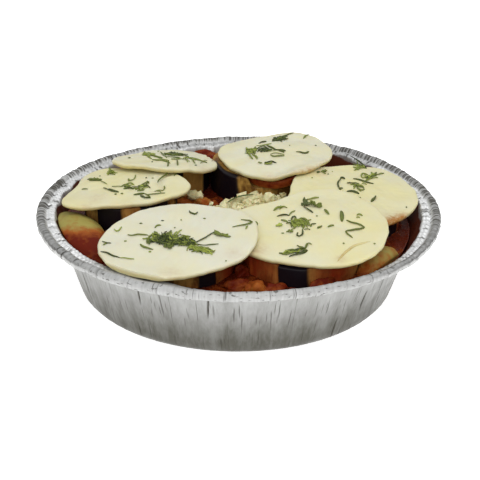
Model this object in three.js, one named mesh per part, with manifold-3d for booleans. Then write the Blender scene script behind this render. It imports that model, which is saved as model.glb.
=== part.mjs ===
// Dish of eggplant parmigiana: a round foil tray with six thick rounds of zebra-peeled
// eggplant standing in tomato sauce, each under a thin slice of pale cheese with parsley.
// Millimetres, Z up. The tray stands on z = 0 and its rim is centred on the Z axis.
// Seen from the front, +X is right and +Y is the back.

import * as THREE from 'three';
import { mergeVertices } from 'three/addons/utils/BufferGeometryUtils.js';
import Module from 'manifold-3d';

const wasm = await Module();
wasm.setup();

// Driving dimensions of the tray
const RIM_RADIUS = 115;
const RIM_HEIGHT = 48.6;
const BEAD_RADIUS = 2.8;
const BASE_RADIUS = 85.5;
const CORNER_RADIUS = 93.4;
const CORNER_HEIGHT = 6.5;
const WALL_SLOPE = 0.286;
const WALL_TOP = 42;
const CREST_RADIUS = 105;
const CREST_HEIGHT = 46.4;
const GUTTER_RADIUS = 108.6;
const GUTTER_HEIGHT = 45.2;
const FOIL = 0.8;
const TRAY_SEGMENTS = 96;
const PLEAT_COUNT = 32;
const PLEAT_DEPTH = 0.4;
const DENT = { at: 222, depth: 1.5, spread: 18 };

// Driving dimensions of the filling
const GAP = 0.35;
const LAYER_GAP = 0.8;
const SAUCE_LEVEL = 36.5;
const SAUCE_SEGMENTS = 40;
const SLICE_THICKNESS = 3.2;
const SLICE_SEGMENTS = 32;
const POCKET_SEGMENTS = 16;
const SLICE_REACH = 108.4;
const DROOP = 1.4;
const DRAPE_FALL = 0.35;
const DRAPE_BLEND = 1.2;
const ROUND_BOTTOM = 18;
const ROUND_EDGE = 4;
const PEEL_RELIEF = 0.9;
const PARING_WIDTH = 2;
const TOMATO_THICKNESS = 5;
const TOMATO_SEGMENTS = 28;
const SHRED_WIDTH = 1.3;
const SHRED_HEIGHT = 1.5;

// Colours of the pieces
const FOIL_SILVER = 0xc4c5c6;
const TOMATO_RED = 0x8c2a14;
const SAUCE_RED = 0x6e2412;
const EGGPLANT_FLESH = 0x8a6a34;
const CHEESE_CREAM = 0xe9e5c9;
const CRUMB_CREAM = 0xd8cda0;

// The six cheese slices, lowest first: centre of the top face, half lengths, turn in degrees,
// tilts, three-, four- and five-cornered bulges of the outline with their directions, upward
// curl of the right end, and the slices that each one lies over
const SLICES = [
  {
    name: 'right', x: 65.8, y: -0.4, z: 54.4, long: 48.4, wide: 35.7, turn: 55.7, tiltX: -0.084, tiltY: 0.051,
    corners3: 0.047, at3: 52, corners4: 0.043, at4: -9, corners5: 0.024, at5: 14, curl: 0, over: [],
  },
  {
    name: 'left', x: -63.9, y: 11.9, z: 56, long: 38, wide: 32, turn: 48.1, tiltX: 0.058, tiltY: -0.019,
    corners3: 0.08, at3: 34, corners4: 0.105, at4: 5, corners5: 0.068, at5: 14, curl: 2.5, over: [],
  },
  {
    name: 'front_right', x: 38.8, y: -51, z: 56.9, long: 45.2, wide: 37.6, turn: 8.6, tiltX: 0.031, tiltY: 0.107,
    corners3: 0.089, at3: 52, corners4: 0.029, at4: -24, corners5: 0.028, at5: 2, curl: 0, over: ['right'],
  },
  {
    name: 'back_left', x: -41.4, y: 49.2, z: 56.6, long: 30.6, wide: 34.7, turn: -2.4, tiltX: -0.053, tiltY: -0.186,
    corners3: 0.121, at3: -41, corners4: 0.041, at4: 15, corners5: 0.017, at5: -26, curl: 0, over: ['left'],
  },
  {
    name: 'back_center', x: 25, y: 51.4, z: 60.2, long: 36.7, wide: 33.7, turn: 41.5, tiltX: 0.023, tiltY: 0.043,
    corners3: 0.06, at3: 6, corners4: 0.033, at4: 27, corners5: 0.026, at5: 32, curl: 0, over: ['right', 'back_left'],
  },
  {
    name: 'front_left', x: -30.3, y: -64.5, z: 55.7, long: 41.5, wide: 35.3, turn: 12.6, tiltX: 0.053, tiltY: 0.123,
    corners3: 0.031, at3: -12, corners4: 0.011, at4: -29, corners5: 0.021, at5: 22, curl: 0, over: ['front_right'],
  },
];

// The six eggplant rounds: centre, radius, how many bands of peel there are, and where the
// first one begins and how wide they are, in degrees
const ROUNDS = [
  { name: 'right', x: 67, y: 0, radius: 30, bands: 6, firstPeel: 300, peelWidth: 26 },
  { name: 'left', x: -62, y: 7, radius: 27.5, bands: 6, firstPeel: 232, peelWidth: 31 },
  { name: 'front_right', x: 35, y: -55, radius: 32, bands: 6, firstPeel: 244, peelWidth: 27 },
  { name: 'back_left', x: -42, y: 56, radius: 25, bands: 6, firstPeel: 280, peelWidth: 18 },
  { name: 'back_center', x: 16.5, y: 54, radius: 33, bands: 4, firstPeel: 196, peelWidth: 46 },
  { name: 'front_left', x: -29, y: -58, radius: 31, bands: 6, firstPeel: 291, peelWidth: 16 },
];

// The tomato slice that shows between the back eggplant round and its cheese, and how far
// beyond it the round sinks to make room for it
const TOMATO_SLICE = { x: 26, y: 38, radius: 21 };
const SINK_EDGE = 3;

// Two tomato wedges lie against the wall: centre, half lengths, turn and pitch in degrees
const WEDGES = [
  { name: 'tomato_wedge_left', x: -86, y: -32, z: 36, long: 31, wide: 14, high: 11, turn: -62, pitch: 5 },
  { name: 'tomato_wedge_right', x: 75, y: -55, z: 34, long: 17, wide: 9, high: 9, turn: 54, pitch: 0 },
];

// The heap of grated cheese in the middle of the ring
const HEAP = { x: 15, y: 7, long: 31, wide: 17, height: 8.5, crumbs: 22, seed: 7 };

// Parsley on each slice, in clusters: place from the slice's centre, spread and number of shreds
const PARSLEY = {
  front_left: [
    { x: -4, y: -4, spread: 11, shreds: 6 },
    { x: 30, y: 5, spread: 4, shreds: 2 },
    { x: -27, y: -3, spread: 5, shreds: 2 },
  ],
  front_right: [
    { x: -6, y: 1, spread: 8, shreds: 4 },
    { x: -9, y: -23, spread: 5, shreds: 3 },
    { x: 1, y: 20, spread: 4, shreds: 2 },
    { x: 23, y: -2, spread: 6, shreds: 2 },
  ],
  right: [
    { x: 9, y: 22, spread: 12, shreds: 5 },
    { x: 1, y: 6, spread: 5, shreds: 2 },
  ],
  back_center: [
    { x: -12, y: 3, spread: 7, shreds: 4 },
    { x: 5, y: 20, spread: 5, shreds: 2 },
    { x: 14, y: 0, spread: 3, shreds: 1 },
  ],
  back_left: [
    { x: 3, y: 2, spread: 11, shreds: 5 },
  ],
  left: [
    { x: 6, y: -8, spread: 10, shreds: 5 },
    { x: -14, y: 8, spread: 5, shreds: 2 },
  ],
};

// A repeatable stream of numbers between 0 and 1
function randomFrom(seed) {
  let state = seed;
  return () => {
    state = (state + 0x6d2b79f5) | 0;
    let mixed = Math.imul(state ^ (state >>> 15), 1 | state);
    mixed = (mixed + Math.imul(mixed ^ (mixed >>> 7), 61 | mixed)) ^ mixed;
    return ((mixed ^ (mixed >>> 14)) >>> 0) / 4294967296;
  };
}

// Degrees to radians
function radians(degrees) {
  return (degrees * Math.PI) / 180;
}

// Signed volume inside a welded geometry, positive when its faces point out
function signedVolume(points, index) {
  const a = new THREE.Vector3();
  const b = new THREE.Vector3();
  const c = new THREE.Vector3();
  let volume = 0;
  for (let corner = 0; corner < index.length; corner += 3) {
    a.fromArray(points, index[corner] * 3);
    b.fromArray(points, index[corner + 1] * 3);
    c.fromArray(points, index[corner + 2] * 3);
    volume += a.dot(b.cross(c)) / 6;
  }
  return volume;
}

// Welds shared vertices, drops triangles that have collapsed at a pole, and turns faces outward
function welded(geometry) {
  geometry.deleteAttribute('normal');
  geometry.deleteAttribute('uv');
  const merged = mergeVertices(geometry, 1e-4);
  const points = merged.attributes.position.array;
  const kept = [];
  const index = merged.index.array;
  for (let corner = 0; corner < index.length; corner += 3) {
    const [a, b, c] = index.slice(corner, corner + 3);
    if (a !== b && b !== c && c !== a) kept.push(a, b, c);
  }
  if (signedVolume(points, kept) < 0) kept.reverse();
  merged.setIndex(kept);
  return merged;
}

// A body turned about Z whose vertices are then placed by shape(turn, radius, height),
// where turn is the share of a full turn
function turned(profile, segments, shape) {
  const outline = profile.map(([radius, height]) => new THREE.Vector2(radius, height));
  const geometry = new THREE.LatheGeometry(outline, segments);
  for (let column = 0; column <= segments; column += 1) {
    const turn = (column % segments) / segments;
    profile.forEach(([radius, height], row) => {
      const [x, y, z] = shape(turn, radius, height);
      geometry.attributes.position.setXYZ(column * profile.length + row, x, y, z);
    });
  }
  return welded(geometry);
}

// A welded geometry as a solid that can be cut and joined
function solidOf(geometry) {
  return new wasm.Manifold(new wasm.Mesh({
    numProp: 3,
    vertProperties: new Float32Array(geometry.attributes.position.array),
    triVerts: new Uint32Array(geometry.index.array),
  }));
}

// A cut or joined solid as a geometry again
function geometryOf(solid) {
  const mesh = solid.getMesh();
  const geometry = new THREE.BufferGeometry();
  geometry.setAttribute('position', new THREE.BufferAttribute(new Float32Array(mesh.vertProperties), 3));
  geometry.setIndex(Array.from(mesh.triVerts));
  return geometry;
}

// The largest body of a solid, without loose scraps
function largestPiece(solid) {
  return solid.decompose().reduce((best, body) => (body.volume() > best.volume() ? body : best));
}

// Radius of the outside of the tray's wall at a height above its corner
function wallRadius(z) {
  return CORNER_RADIUS + (z - CORNER_HEIGHT) * WALL_SLOPE;
}

// Shallow upright creases of the wall and radial pleats of the shoulder, -1 to 1
function foilWave(angle) {
  return 0.65 * Math.sin(PLEAT_COUNT * angle) + 0.35 * Math.sin((PLEAT_COUNT - 9) * angle + 1.3);
}

// How far the wall is dented inward at an angle, in full at the rim and not at all at the base
function dentAt(turn, z) {
  const away = (turn * 360 - DENT.at) / DENT.spread;
  return DENT.depth * (z / RIM_HEIGHT) * Math.exp(-away * away);
}

// Places a point of the tray: creased, pleated and dented at the front left
function trayPoint(turn, radius, z) {
  const angle = turn * 2 * Math.PI;
  const onWall = radius > BASE_RADIUS && radius < CREST_RADIUS;
  const onShoulder = radius > CREST_RADIUS - 2 && radius < GUTTER_RADIUS + 1;
  const dent = radius > BASE_RADIUS ? dentAt(turn, z) : 0;
  const crease = onWall ? PLEAT_DEPTH * foilWave(angle) * (z / RIM_HEIGHT) : 0;
  const pleat = onShoulder ? PLEAT_DEPTH * foilWave(angle) : 0;
  const out = radius + crease - dent;
  return [out * Math.cos(angle), out * Math.sin(angle), z + pleat];
}

// The corner between base and wall, as a curve of a few points, moved in by an offset
function cornerCurve(offset) {
  const curve = new THREE.QuadraticBezierCurve(
    new THREE.Vector2(BASE_RADIUS - offset / 4, offset),
    new THREE.Vector2(CORNER_RADIUS - 1 - offset, offset),
    new THREE.Vector2(CORNER_RADIUS - offset, CORNER_HEIGHT),
  );
  return curve.getPoints(2).map((point) => [point.x, point.y]);
}

// The rolled bead along the edge of the tray, from under the gutter round to its top
function beadCurve() {
  const centerRadius = RIM_RADIUS - BEAD_RADIUS;
  const centerHeight = RIM_HEIGHT - BEAD_RADIUS;
  return [212, 270, 322, 12, 68, 128].map((degrees) => [
    centerRadius + BEAD_RADIUS * Math.cos(radians(degrees)),
    centerHeight + BEAD_RADIUS * Math.sin(radians(degrees)),
  ]);
}

// Pressed foil tray: flat base, creased wall, pleated shoulder with a gutter, rolled bead
function foilTray() {
  const outside = [
    [0, 0],
    ...cornerCurve(0),
    [wallRadius(WALL_TOP), WALL_TOP],
    [wallRadius(WALL_TOP) + 0.8, GUTTER_HEIGHT - 0.7],
    [GUTTER_RADIUS, GUTTER_HEIGHT - 0.9],
  ];
  const inside = [
    [0, FOIL],
    ...cornerCurve(FOIL),
    [wallRadius(WALL_TOP) - FOIL, WALL_TOP],
    [CREST_RADIUS - 1.2, CREST_HEIGHT - 1],
    [CREST_RADIUS, CREST_HEIGHT],
    [GUTTER_RADIUS - 2, CREST_HEIGHT - 0.3],
    [GUTTER_RADIUS, GUTTER_HEIGHT],
  ];
  return turned([...outside, ...beadCurve(), ...inside.reverse()], TRAY_SEGMENTS, trayPoint);
}

// The room inside the tray, clear of its foil, up to a height
function trayRoom(segments, top, roof) {
  const clear = FOIL + GAP + PLEAT_DEPTH;
  const profile = [
    [0, FOIL + GAP],
    ...cornerCurve(clear).map(([radius, z]) => [radius, Math.max(z, FOIL + GAP)]),
    [wallRadius(top) - clear, top],
    ...roof,
  ];
  return turned(profile, segments, (turn, radius, height) => {
    const angle = turn * 2 * Math.PI;
    const out = radius > 0 ? radius - dentAt(turn, height) : 0;
    return [out * Math.cos(angle), out * Math.sin(angle), height];
  });
}

// A slice by its name
function sliceNamed(name) {
  return SLICES.find((slice) => slice.name === name);
}

// A point in a slice's own turned axes, as shares of its half lengths
function sliceShare(slice, x, y) {
  const turn = radians(slice.turn);
  const along = (x - slice.x) * Math.cos(turn) + (y - slice.y) * Math.sin(turn);
  const across = (y - slice.y) * Math.cos(turn) - (x - slice.x) * Math.sin(turn);
  return [along / slice.long, across / slice.wide];
}

// A point of a slice's outline scaled by a share from its centre, kept inside the tray's bead
function outlinePoint(slice, angle, share) {
  const bulge = 1
    + slice.corners3 * Math.cos(3 * (angle - radians(slice.at3)))
    + slice.corners4 * Math.cos(4 * (angle - radians(slice.at4)))
    + slice.corners5 * Math.cos(5 * (angle - radians(slice.at5)));
  const along = slice.long * bulge * share * Math.cos(angle);
  const across = slice.wide * bulge * share * Math.sin(angle);
  const turn = radians(slice.turn);
  const x = slice.x + along * Math.cos(turn) - across * Math.sin(turn);
  const y = slice.y + along * Math.sin(turn) + across * Math.cos(turn);
  const held = Math.min(1, SLICE_REACH / Math.hypot(x, y));
  return [x * held, y * held];
}

// The larger of two heights, blended smoothly and never lower than either
function smoothLarger(a, b) {
  return 0.5 * (a + b + Math.sqrt((a - b) ** 2 + DRAPE_BLEND ** 2));
}

// Height of a slice's top face: its own tilted, drooping plane, lifted over the rim's crest
// and over the slices that it lies on
function sliceTop(slice, x, y) {
  const [along, across] = sliceShare(slice, x, y);
  const ownTop = slice.z + slice.tiltX * (x - slice.x) + slice.tiltY * (y - slice.y)
    - DROOP * (along * along + across * across)
    + slice.curl * Math.max(0, (x - slice.x) / slice.long - 0.3);
  const crest = CREST_HEIGHT + 2 * PLEAT_DEPTH + GAP - 0.4 * Math.max(0, CREST_RADIUS - Math.hypot(x, y));
  let underside = smoothLarger(ownTop - SLICE_THICKNESS, crest);
  for (const name of slice.over) {
    const lower = sliceNamed(name);
    const [u, v] = sliceShare(lower, x, y);
    const beyond = Math.max(0, Math.hypot(u, v) - 1) * lower.wide;
    underside = smoothLarger(underside, sliceTop(lower, x, y) + LAYER_GAP - DRAPE_FALL * beyond);
  }
  return underside + SLICE_THICKNESS;
}

// A slice of pale cheese with soft edges, thicker below by extra where it is used as a cutter
function cheeseSlice(slice, extra) {
  const profile = [
    [0, SLICE_THICKNESS + extra],
    [0.55, SLICE_THICKNESS + extra],
    [0.95, SLICE_THICKNESS + extra],
    [1, SLICE_THICKNESS * 0.5],
    [0.96, 0],
    [0.55, 0],
    [0, 0],
  ];
  return turned(profile, SLICE_SEGMENTS, (turn, share, depth) => {
    const [x, y] = outlinePoint(slice, turn * 2 * Math.PI, share);
    return [x, y, sliceTop(slice, x, y) - depth];
  });
}

// One shred of parsley: a thin bent strip half sunk into the cheese under it
function parsleyShred(slice, x, y, turn, length, bend) {
  const strip = new THREE.BoxGeometry(length, SHRED_WIDTH, SHRED_HEIGHT, 2, 1, 1);
  const points = strip.attributes.position;
  for (let i = 0; i < points.count; i += 1) {
    const along = points.getX(i);
    const across = points.getY(i) + bend * (along / length) ** 2;
    const atX = x + along * Math.cos(turn) - across * Math.sin(turn);
    const atY = y + along * Math.sin(turn) + across * Math.cos(turn);
    points.setXYZ(i, atX, atY, sliceTop(slice, atX, atY) + points.getZ(i));
  }
  return welded(strip);
}

// All the parsley of one slice, joined to it
function parsleyOn(slice, cheese, random) {
  let joined = cheese;
  for (const cluster of PARSLEY[slice.name]) {
    for (let i = 0; i < cluster.shreds; i += 1) {
      const away = cluster.spread * Math.sqrt((i + 0.5) / cluster.shreds);
      const around = i * 2.4 + random();
      const x = slice.x + cluster.x + away * Math.cos(around);
      const y = slice.y + cluster.y + away * 0.8 * Math.sin(around);
      const turn = (random() - 0.5) * 2.4;
      const length = 5 + 7 * random();
      const shred = parsleyShred(slice, x, y, turn, length, (random() - 0.5) * 6);
      joined = joined.add(solidOf(shred));
    }
  }
  return joined;
}

// Where the columns of a round's side stand and how far each is pared away:
// bands of peel stand proud, and the peeled bands between them are pared nearly flat
function peelColumns(round) {
  const columns = [];
  const pitch = 360 / round.bands;
  for (let band = 0; band < round.bands; band += 1) {
    const start = round.firstPeel + band * pitch;
    const peelWidth = round.peelWidth * (1 + 0.12 * Math.sin(band * 2.1));
    columns.push(
      { angle: start, pared: 0 },
      { angle: start + peelWidth / 2, pared: 0 },
      { angle: start + peelWidth, pared: 0 },
      { angle: start + peelWidth + PARING_WIDTH, pared: PEEL_RELIEF },
      { angle: start + (peelWidth + pitch) / 2, pared: PEEL_RELIEF * 1.3 },
      { angle: start + pitch - PARING_WIDTH, pared: PEEL_RELIEF },
    );
  }
  return columns;
}

// How far the back round sinks under the tomato slice, in full below it and not at all beyond it
function sunkUnderTomato(x, y) {
  const away = Math.hypot(x - TOMATO_SLICE.x, y - TOMATO_SLICE.y) - TOMATO_SLICE.radius - GAP;
  return (TOMATO_THICKNESS + LAYER_GAP) * (1 - THREE.MathUtils.smoothstep(away, 0, SINK_EDGE));
}

// Underside of what lies on a round, above a point
function undersideOver(round, x, y) {
  const below = round.name === 'back_center' ? sunkUnderTomato(x, y) : 0;
  return sliceTop(sliceNamed(round.name), x, y) - SLICE_THICKNESS - LAYER_GAP - below;
}

// A thick round of eggplant with soft edges; its top follows what lies on it.
// Rows below the middle of the profile are measured up from its bottom, the rest down from its top
function eggplantRound(round) {
  const full = RIM_HEIGHT;
  const profile = [
    [0, 0],
    [round.radius - ROUND_EDGE, 0],
    [round.radius, ROUND_EDGE + 2],
    [round.radius, full - ROUND_EDGE],
    [round.radius - ROUND_EDGE * 0.3, full - ROUND_EDGE * 0.3],
    [round.radius - ROUND_EDGE, full],
    [0, full],
  ];
  const columns = peelColumns(round);
  return turned(profile, columns.length, (turn, radius, height) => {
    const { angle, pared } = columns[Math.round(turn * columns.length)];
    const out = radius > 0 ? radius - pared : 0;
    const x = round.x + out * Math.cos(radians(angle));
    const y = round.y + out * Math.sin(radians(angle));
    const z = height < full / 2 ? ROUND_BOTTOM + height : undersideOver(round, x, y) - (full - height);
    return [x, y, z];
  });
}

// The room that a round takes up in the sauce, a little wider and deeper than the round
function roundPocket(round) {
  const reach = (round.radius + GAP) / Math.cos(Math.PI / POCKET_SEGMENTS);
  const profile = [
    [0, ROUND_BOTTOM - GAP],
    [reach - ROUND_EDGE, ROUND_BOTTOM - GAP],
    [reach, ROUND_BOTTOM + ROUND_EDGE],
    [reach, RIM_HEIGHT * 2],
    [0, RIM_HEIGHT * 2],
  ];
  return turned(profile, POCKET_SEGMENTS, (turn, radius, height) => {
    const angle = turn * 2 * Math.PI;
    return [round.x + radius * Math.cos(angle), round.y + radius * Math.sin(angle), height];
  });
}

// The tomato slice on the back round, following the underside of the cheese,
// thicker below by extra where it is used as a cutter
function tomatoSlice(extra) {
  const { x, y, radius } = TOMATO_SLICE;
  const over = sliceNamed('back_center');
  const profile = [
    [0, TOMATO_THICKNESS + extra],
    [radius - 1.2, TOMATO_THICKNESS + extra],
    [radius, TOMATO_THICKNESS * 0.65],
    [radius, TOMATO_THICKNESS * 0.35],
    [radius - 1.2, 0],
    [0, 0],
  ];
  return turned(profile, TOMATO_SEGMENTS, (turn, out, depth) => {
    const angle = turn * 2 * Math.PI;
    const atX = x + out * Math.cos(angle);
    const atY = y + out * Math.sin(angle);
    return [atX, atY, sliceTop(over, atX, atY) - SLICE_THICKNESS - LAYER_GAP - depth];
  });
}

// A tomato wedge as a flattened rounded body, grown by an amount all round
function tomatoWedge(wedge, grown) {
  const body = new THREE.SphereGeometry(1, 16, 8);
  body.scale(wedge.long + grown, wedge.wide + grown, wedge.high + grown);
  body.rotateY(radians(wedge.pitch));
  body.rotateZ(radians(wedge.turn));
  body.translate(wedge.x, wedge.y, wedge.z);
  return welded(body);
}

// One uneven crumb of grated cheese
function crumb(x, y, z, size, random) {
  const body = new THREE.IcosahedronGeometry(size / 2, 0);
  body.scale(1, 0.6 + 0.4 * random(), 0.55 + 0.3 * random());
  body.rotateX(random() * Math.PI);
  body.rotateZ(random() * Math.PI * 2);
  body.translate(x, y, z);
  return welded(body);
}

// Height of the top of the heap's core at a share of its outline
function heapHeight(share) {
  return SAUCE_LEVEL + GAP + 0.8 + HEAP.height * (1 - share * share);
}

// Heap of grated cheese: a low core with crumbs fused all over it
function cheeseHeap(pockets) {
  const profile = [
    [0, 0],
    [1, 0],
    [1, 1],
    [0.6, 1],
    [0, 1],
  ];
  const core = turned(profile, 20, (turn, share, level) => {
    const angle = turn * 2 * Math.PI;
    const uneven = 1 + 0.06 * Math.sin(5 * angle) + 0.04 * Math.sin(3 * angle + 1);
    const x = HEAP.x + HEAP.long * share * uneven * Math.cos(angle);
    const y = HEAP.y + HEAP.wide * share * uneven * Math.sin(angle);
    return [x, y, level ? heapHeight(share) : SAUCE_LEVEL + 2 * GAP];
  });
  const random = randomFrom(HEAP.seed);
  let heap = solidOf(core);
  for (let i = 0; i < HEAP.crumbs; i += 1) {
    const share = 0.95 * Math.sqrt((i + 0.5) / HEAP.crumbs);
    const angle = i * 2.39996;
    const size = 3.5 + 3 * random();
    const x = HEAP.x + HEAP.long * share * Math.cos(angle);
    const y = HEAP.y + HEAP.wide * share * Math.sin(angle);
    heap = heap.add(solidOf(crumb(x, y, heapHeight(share) + size * 0.12, size, random)));
  }
  const floor = new THREE.BoxGeometry(4 * HEAP.long, 4 * HEAP.long, 20);
  floor.translate(HEAP.x, HEAP.y, SAUCE_LEVEL + 2 * GAP - 10);
  heap = heap.subtract(solidOf(welded(floor)));
  pockets.forEach((pocket) => {
    heap = heap.subtract(pocket);
  });
  return largestPiece(heap);
}

// Tomato sauce up to its level, uneven on top, cut round the rounds and wedges that stand in it
function tomatoSauce(cutters) {
  const roof = [[85, SAUCE_LEVEL + 0.4], [0, SAUCE_LEVEL]];
  let sauce = solidOf(trayRoom(SAUCE_SEGMENTS, SAUCE_LEVEL - 0.6, roof));
  cutters.forEach((cutter) => {
    sauce = sauce.subtract(cutter);
  });
  return largestPiece(sauce);
}

// A named piece with its own finish
function piece(name, geometry, color, roughness, metalness) {
  const finish = new THREE.MeshStandardMaterial({ color, roughness, metalness, flatShading: true });
  const mesh = new THREE.Mesh(geometry, finish);
  mesh.name = name;
  return mesh;
}

const dish = new THREE.Group();
dish.add(piece('foil_tray', foilTray(), FOIL_SILVER, 0.35, 1));

const openTop = [[wallRadius(WALL_TOP), RIM_HEIGHT * 2], [0, RIM_HEIGHT * 2]];
const room = solidOf(trayRoom(SAUCE_SEGMENTS, WALL_TOP, openTop));
const pockets = ROUNDS.map((round) => solidOf(roundPocket(round)));
const undersides = SLICES.map((slice) => solidOf(cheeseSlice(slice, GAP)));

// Everything that lies under a cheese slice is kept clear of it
function clearOfSlices(solid) {
  return undersides.reduce((rest, underside) => rest.subtract(underside), solid);
}

const tomatoRoom = solidOf(tomatoSlice(GAP));
ROUNDS.forEach((round) => {
  const body = clearOfSlices(solidOf(eggplantRound(round))).subtract(tomatoRoom);
  dish.add(piece(`eggplant_round_${round.name}`, geometryOf(largestPiece(body)), EGGPLANT_FLESH, 0.5, 0));
});

dish.add(piece('tomato_slice_back_center', geometryOf(clearOfSlices(solidOf(tomatoSlice(0)))), TOMATO_RED, 0.35, 0));

WEDGES.forEach((wedge) => {
  let body = solidOf(tomatoWedge(wedge, 0)).intersect(room);
  pockets.forEach((pocket) => {
    body = body.subtract(pocket);
  });
  dish.add(piece(wedge.name, geometryOf(largestPiece(clearOfSlices(body))), TOMATO_RED, 0.3, 0));
});

const wedgeRooms = WEDGES.map((wedge) => solidOf(tomatoWedge(wedge, GAP)));
dish.add(piece('tomato_sauce', geometryOf(tomatoSauce([...pockets, ...wedgeRooms])), SAUCE_RED, 0.3, 0));
dish.add(piece('grated_cheese', geometryOf(cheeseHeap(pockets)), CRUMB_CREAM, 0.7, 0));

SLICES.forEach((slice, order) => {
  let body = solidOf(cheeseSlice(slice, 0));
  undersides.slice(order + 1).forEach((underside) => {
    body = body.subtract(underside);
  });
  const dressed = parsleyOn(slice, largestPiece(body), randomFrom(100 + order));
  dish.add(piece(`cheese_slice_${slice.name}`, geometryOf(dressed), CHEESE_CREAM, 0.45, 0));
});

export default dish;
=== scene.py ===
import math
from functools import partial
from types import SimpleNamespace as Sizes

import bpy
import numpy as np
from bpy.props import FloatProperty, FloatVectorProperty, PointerProperty
from mathutils import Matrix


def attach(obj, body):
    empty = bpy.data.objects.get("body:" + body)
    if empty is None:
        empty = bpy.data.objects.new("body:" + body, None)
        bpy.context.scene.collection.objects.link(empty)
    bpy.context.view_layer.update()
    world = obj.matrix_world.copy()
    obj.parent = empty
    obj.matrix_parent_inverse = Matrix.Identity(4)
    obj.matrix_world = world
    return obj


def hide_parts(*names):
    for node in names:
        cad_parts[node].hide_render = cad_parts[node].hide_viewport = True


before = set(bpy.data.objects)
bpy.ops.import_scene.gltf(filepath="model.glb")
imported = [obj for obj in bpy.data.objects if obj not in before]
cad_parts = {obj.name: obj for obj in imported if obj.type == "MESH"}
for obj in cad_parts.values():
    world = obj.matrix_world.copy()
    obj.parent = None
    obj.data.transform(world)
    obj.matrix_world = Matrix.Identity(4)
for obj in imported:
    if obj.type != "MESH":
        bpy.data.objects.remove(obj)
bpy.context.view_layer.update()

bl_info = {
    "name": "Dish of eggplant parmigiana",
    "version": (1, 0, 0),
    "blender": (4, 5, 0),
    "location": "3D View > Sidebar > Dish",
    "description": "Builds a round foil tray of eggplant rounds under cheese slices with parsley",
    "category": "Add Mesh",
}

# Shapes are worked out in millimetres and become metres when they are put into a mesh
METRES = 0.001
TURN = 2 * math.pi

# The cheese slices, lowest first: centre of the top face, half lengths, turn in degrees, tilts,
# bulges of the outline (corners, size, direction), upward curl of the right end, how warm the
# cheese is, and the slices that each one lies over
SLICES = {
    "right": Sizes(
        x=65.8, y=-0.4, z=54.4, long=48.4, wide=35.7, turn=55.7, tilt_x=-0.084, tilt_y=0.051,
        bulges=((3, 0.047, 52), (4, 0.043, -9), (5, 0.024, 14)), curl=0, warm=0.75, over=()),
    "left": Sizes(
        x=-63.4, y=9.5, z=56, long=38, wide=33.2, turn=48.1, tilt_x=0.058, tilt_y=-0.019,
        bulges=((3, 0.08, 34), (4, 0.105, 5), (5, 0.068, 14)), curl=2.5, warm=0.6, over=()),
    "front_right": Sizes(
        x=38.8, y=-51, z=56.9, long=45.2, wide=37.6, turn=8.6, tilt_x=0.031, tilt_y=0.107,
        bulges=((3, 0.089, 52), (4, 0.029, -24), (5, 0.028, 2)), curl=0, warm=0.6, over=("right",)),
    "back_left": Sizes(
        x=-41.4, y=49.2, z=56.6, long=30.6, wide=34.7, turn=-2.4, tilt_x=-0.053, tilt_y=-0.186,
        bulges=((3, 0.121, -41), (4, 0.041, 15), (5, 0.017, -26)), curl=0, warm=0.3, over=("left",)),
    "back_center": Sizes(
        x=25, y=51.4, z=60.2, long=36.7, wide=33.7, turn=41.5, tilt_x=0.023, tilt_y=0.043,
        bulges=((3, 0.06, 6), (4, 0.033, 27), (5, 0.026, 32)), curl=0, warm=0.3,
        over=("right", "back_left")),
    "front_left": Sizes(
        x=-30.8, y=-65.3, z=55.7, long=42.3, wide=36.5, turn=12.6, tilt_x=0.053, tilt_y=0.123,
        bulges=((3, 0.031, -12), (4, 0.011, -29), (5, 0.021, 22)), curl=0, warm=0.05,
        over=("front_right",)),
}

# The eggplant rounds: centre, radius, how many bands of peel there are, where the first one begins
# and how wide they are in degrees, how golden the flesh is (partly painted light: raised for a round
# in the shade of the slices and lowered for one that is lit more), where sauce stains it (direction,
# spread, strength), and where it hides the peel as well
ROUNDS = {
    "right": Sizes(
        x=67, y=0, radius=30, bands=6, first=300, width=26, gold=-0.1,
        stains=((250, 60, 0.9), (345, 25, 0.9)), hidden=()),
    "left": Sizes(
        x=-62, y=7, radius=27.5, bands=6, first=232, width=31, gold=0.05, stains=((285, 25, 0.4),),
        hidden=()),
    "front_right": Sizes(
        x=35, y=-55, radius=32, bands=6, first=246, width=28, gold=-0.1,
        stains=((205, 50, 1.0), (300, 26, 1.0)), hidden=((188, 28), (318, 20))),
    "back_left": Sizes(
        x=-42, y=56, radius=25, bands=6, first=272, width=18, gold=1.0, stains=((335, 14, 0.2),), hidden=()),
    "back_center": Sizes(
        x=16.5, y=54, radius=33, bands=3, first=188, width=53, gold=-0.15, stains=(), hidden=()),
    "front_left": Sizes(
        x=-29, y=-58, radius=31, bands=6, first=291, width=17, gold=-0.25,
        stains=((338, 32, 1.0),), hidden=((0, 28),)),
}

# The tomato slice on the back round, how far beyond it the round sinks to make room for it, and
# the wedges: centre, half lengths, turn and pitch in degrees, the height where they turn red, and
# how pale they are below and above it
TOMATO_SLICE = Sizes(x=26, y=38, radius=21)
SINK_EDGE = 3
WEDGES = {
    "tomato_wedge_left": Sizes(
        x=-86, y=-32, z=36.8, long=31, wide=14, high=11, turn=-62, pitch=5, ripe=4.2, pale=(0, 1)),
    "tomato_wedge_right": Sizes(
        x=75, y=-57, z=35, long=19, wide=9, high=9.5, turn=52, pitch=0, ripe=-1, pale=(0.42, 0.78)),
}

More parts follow.
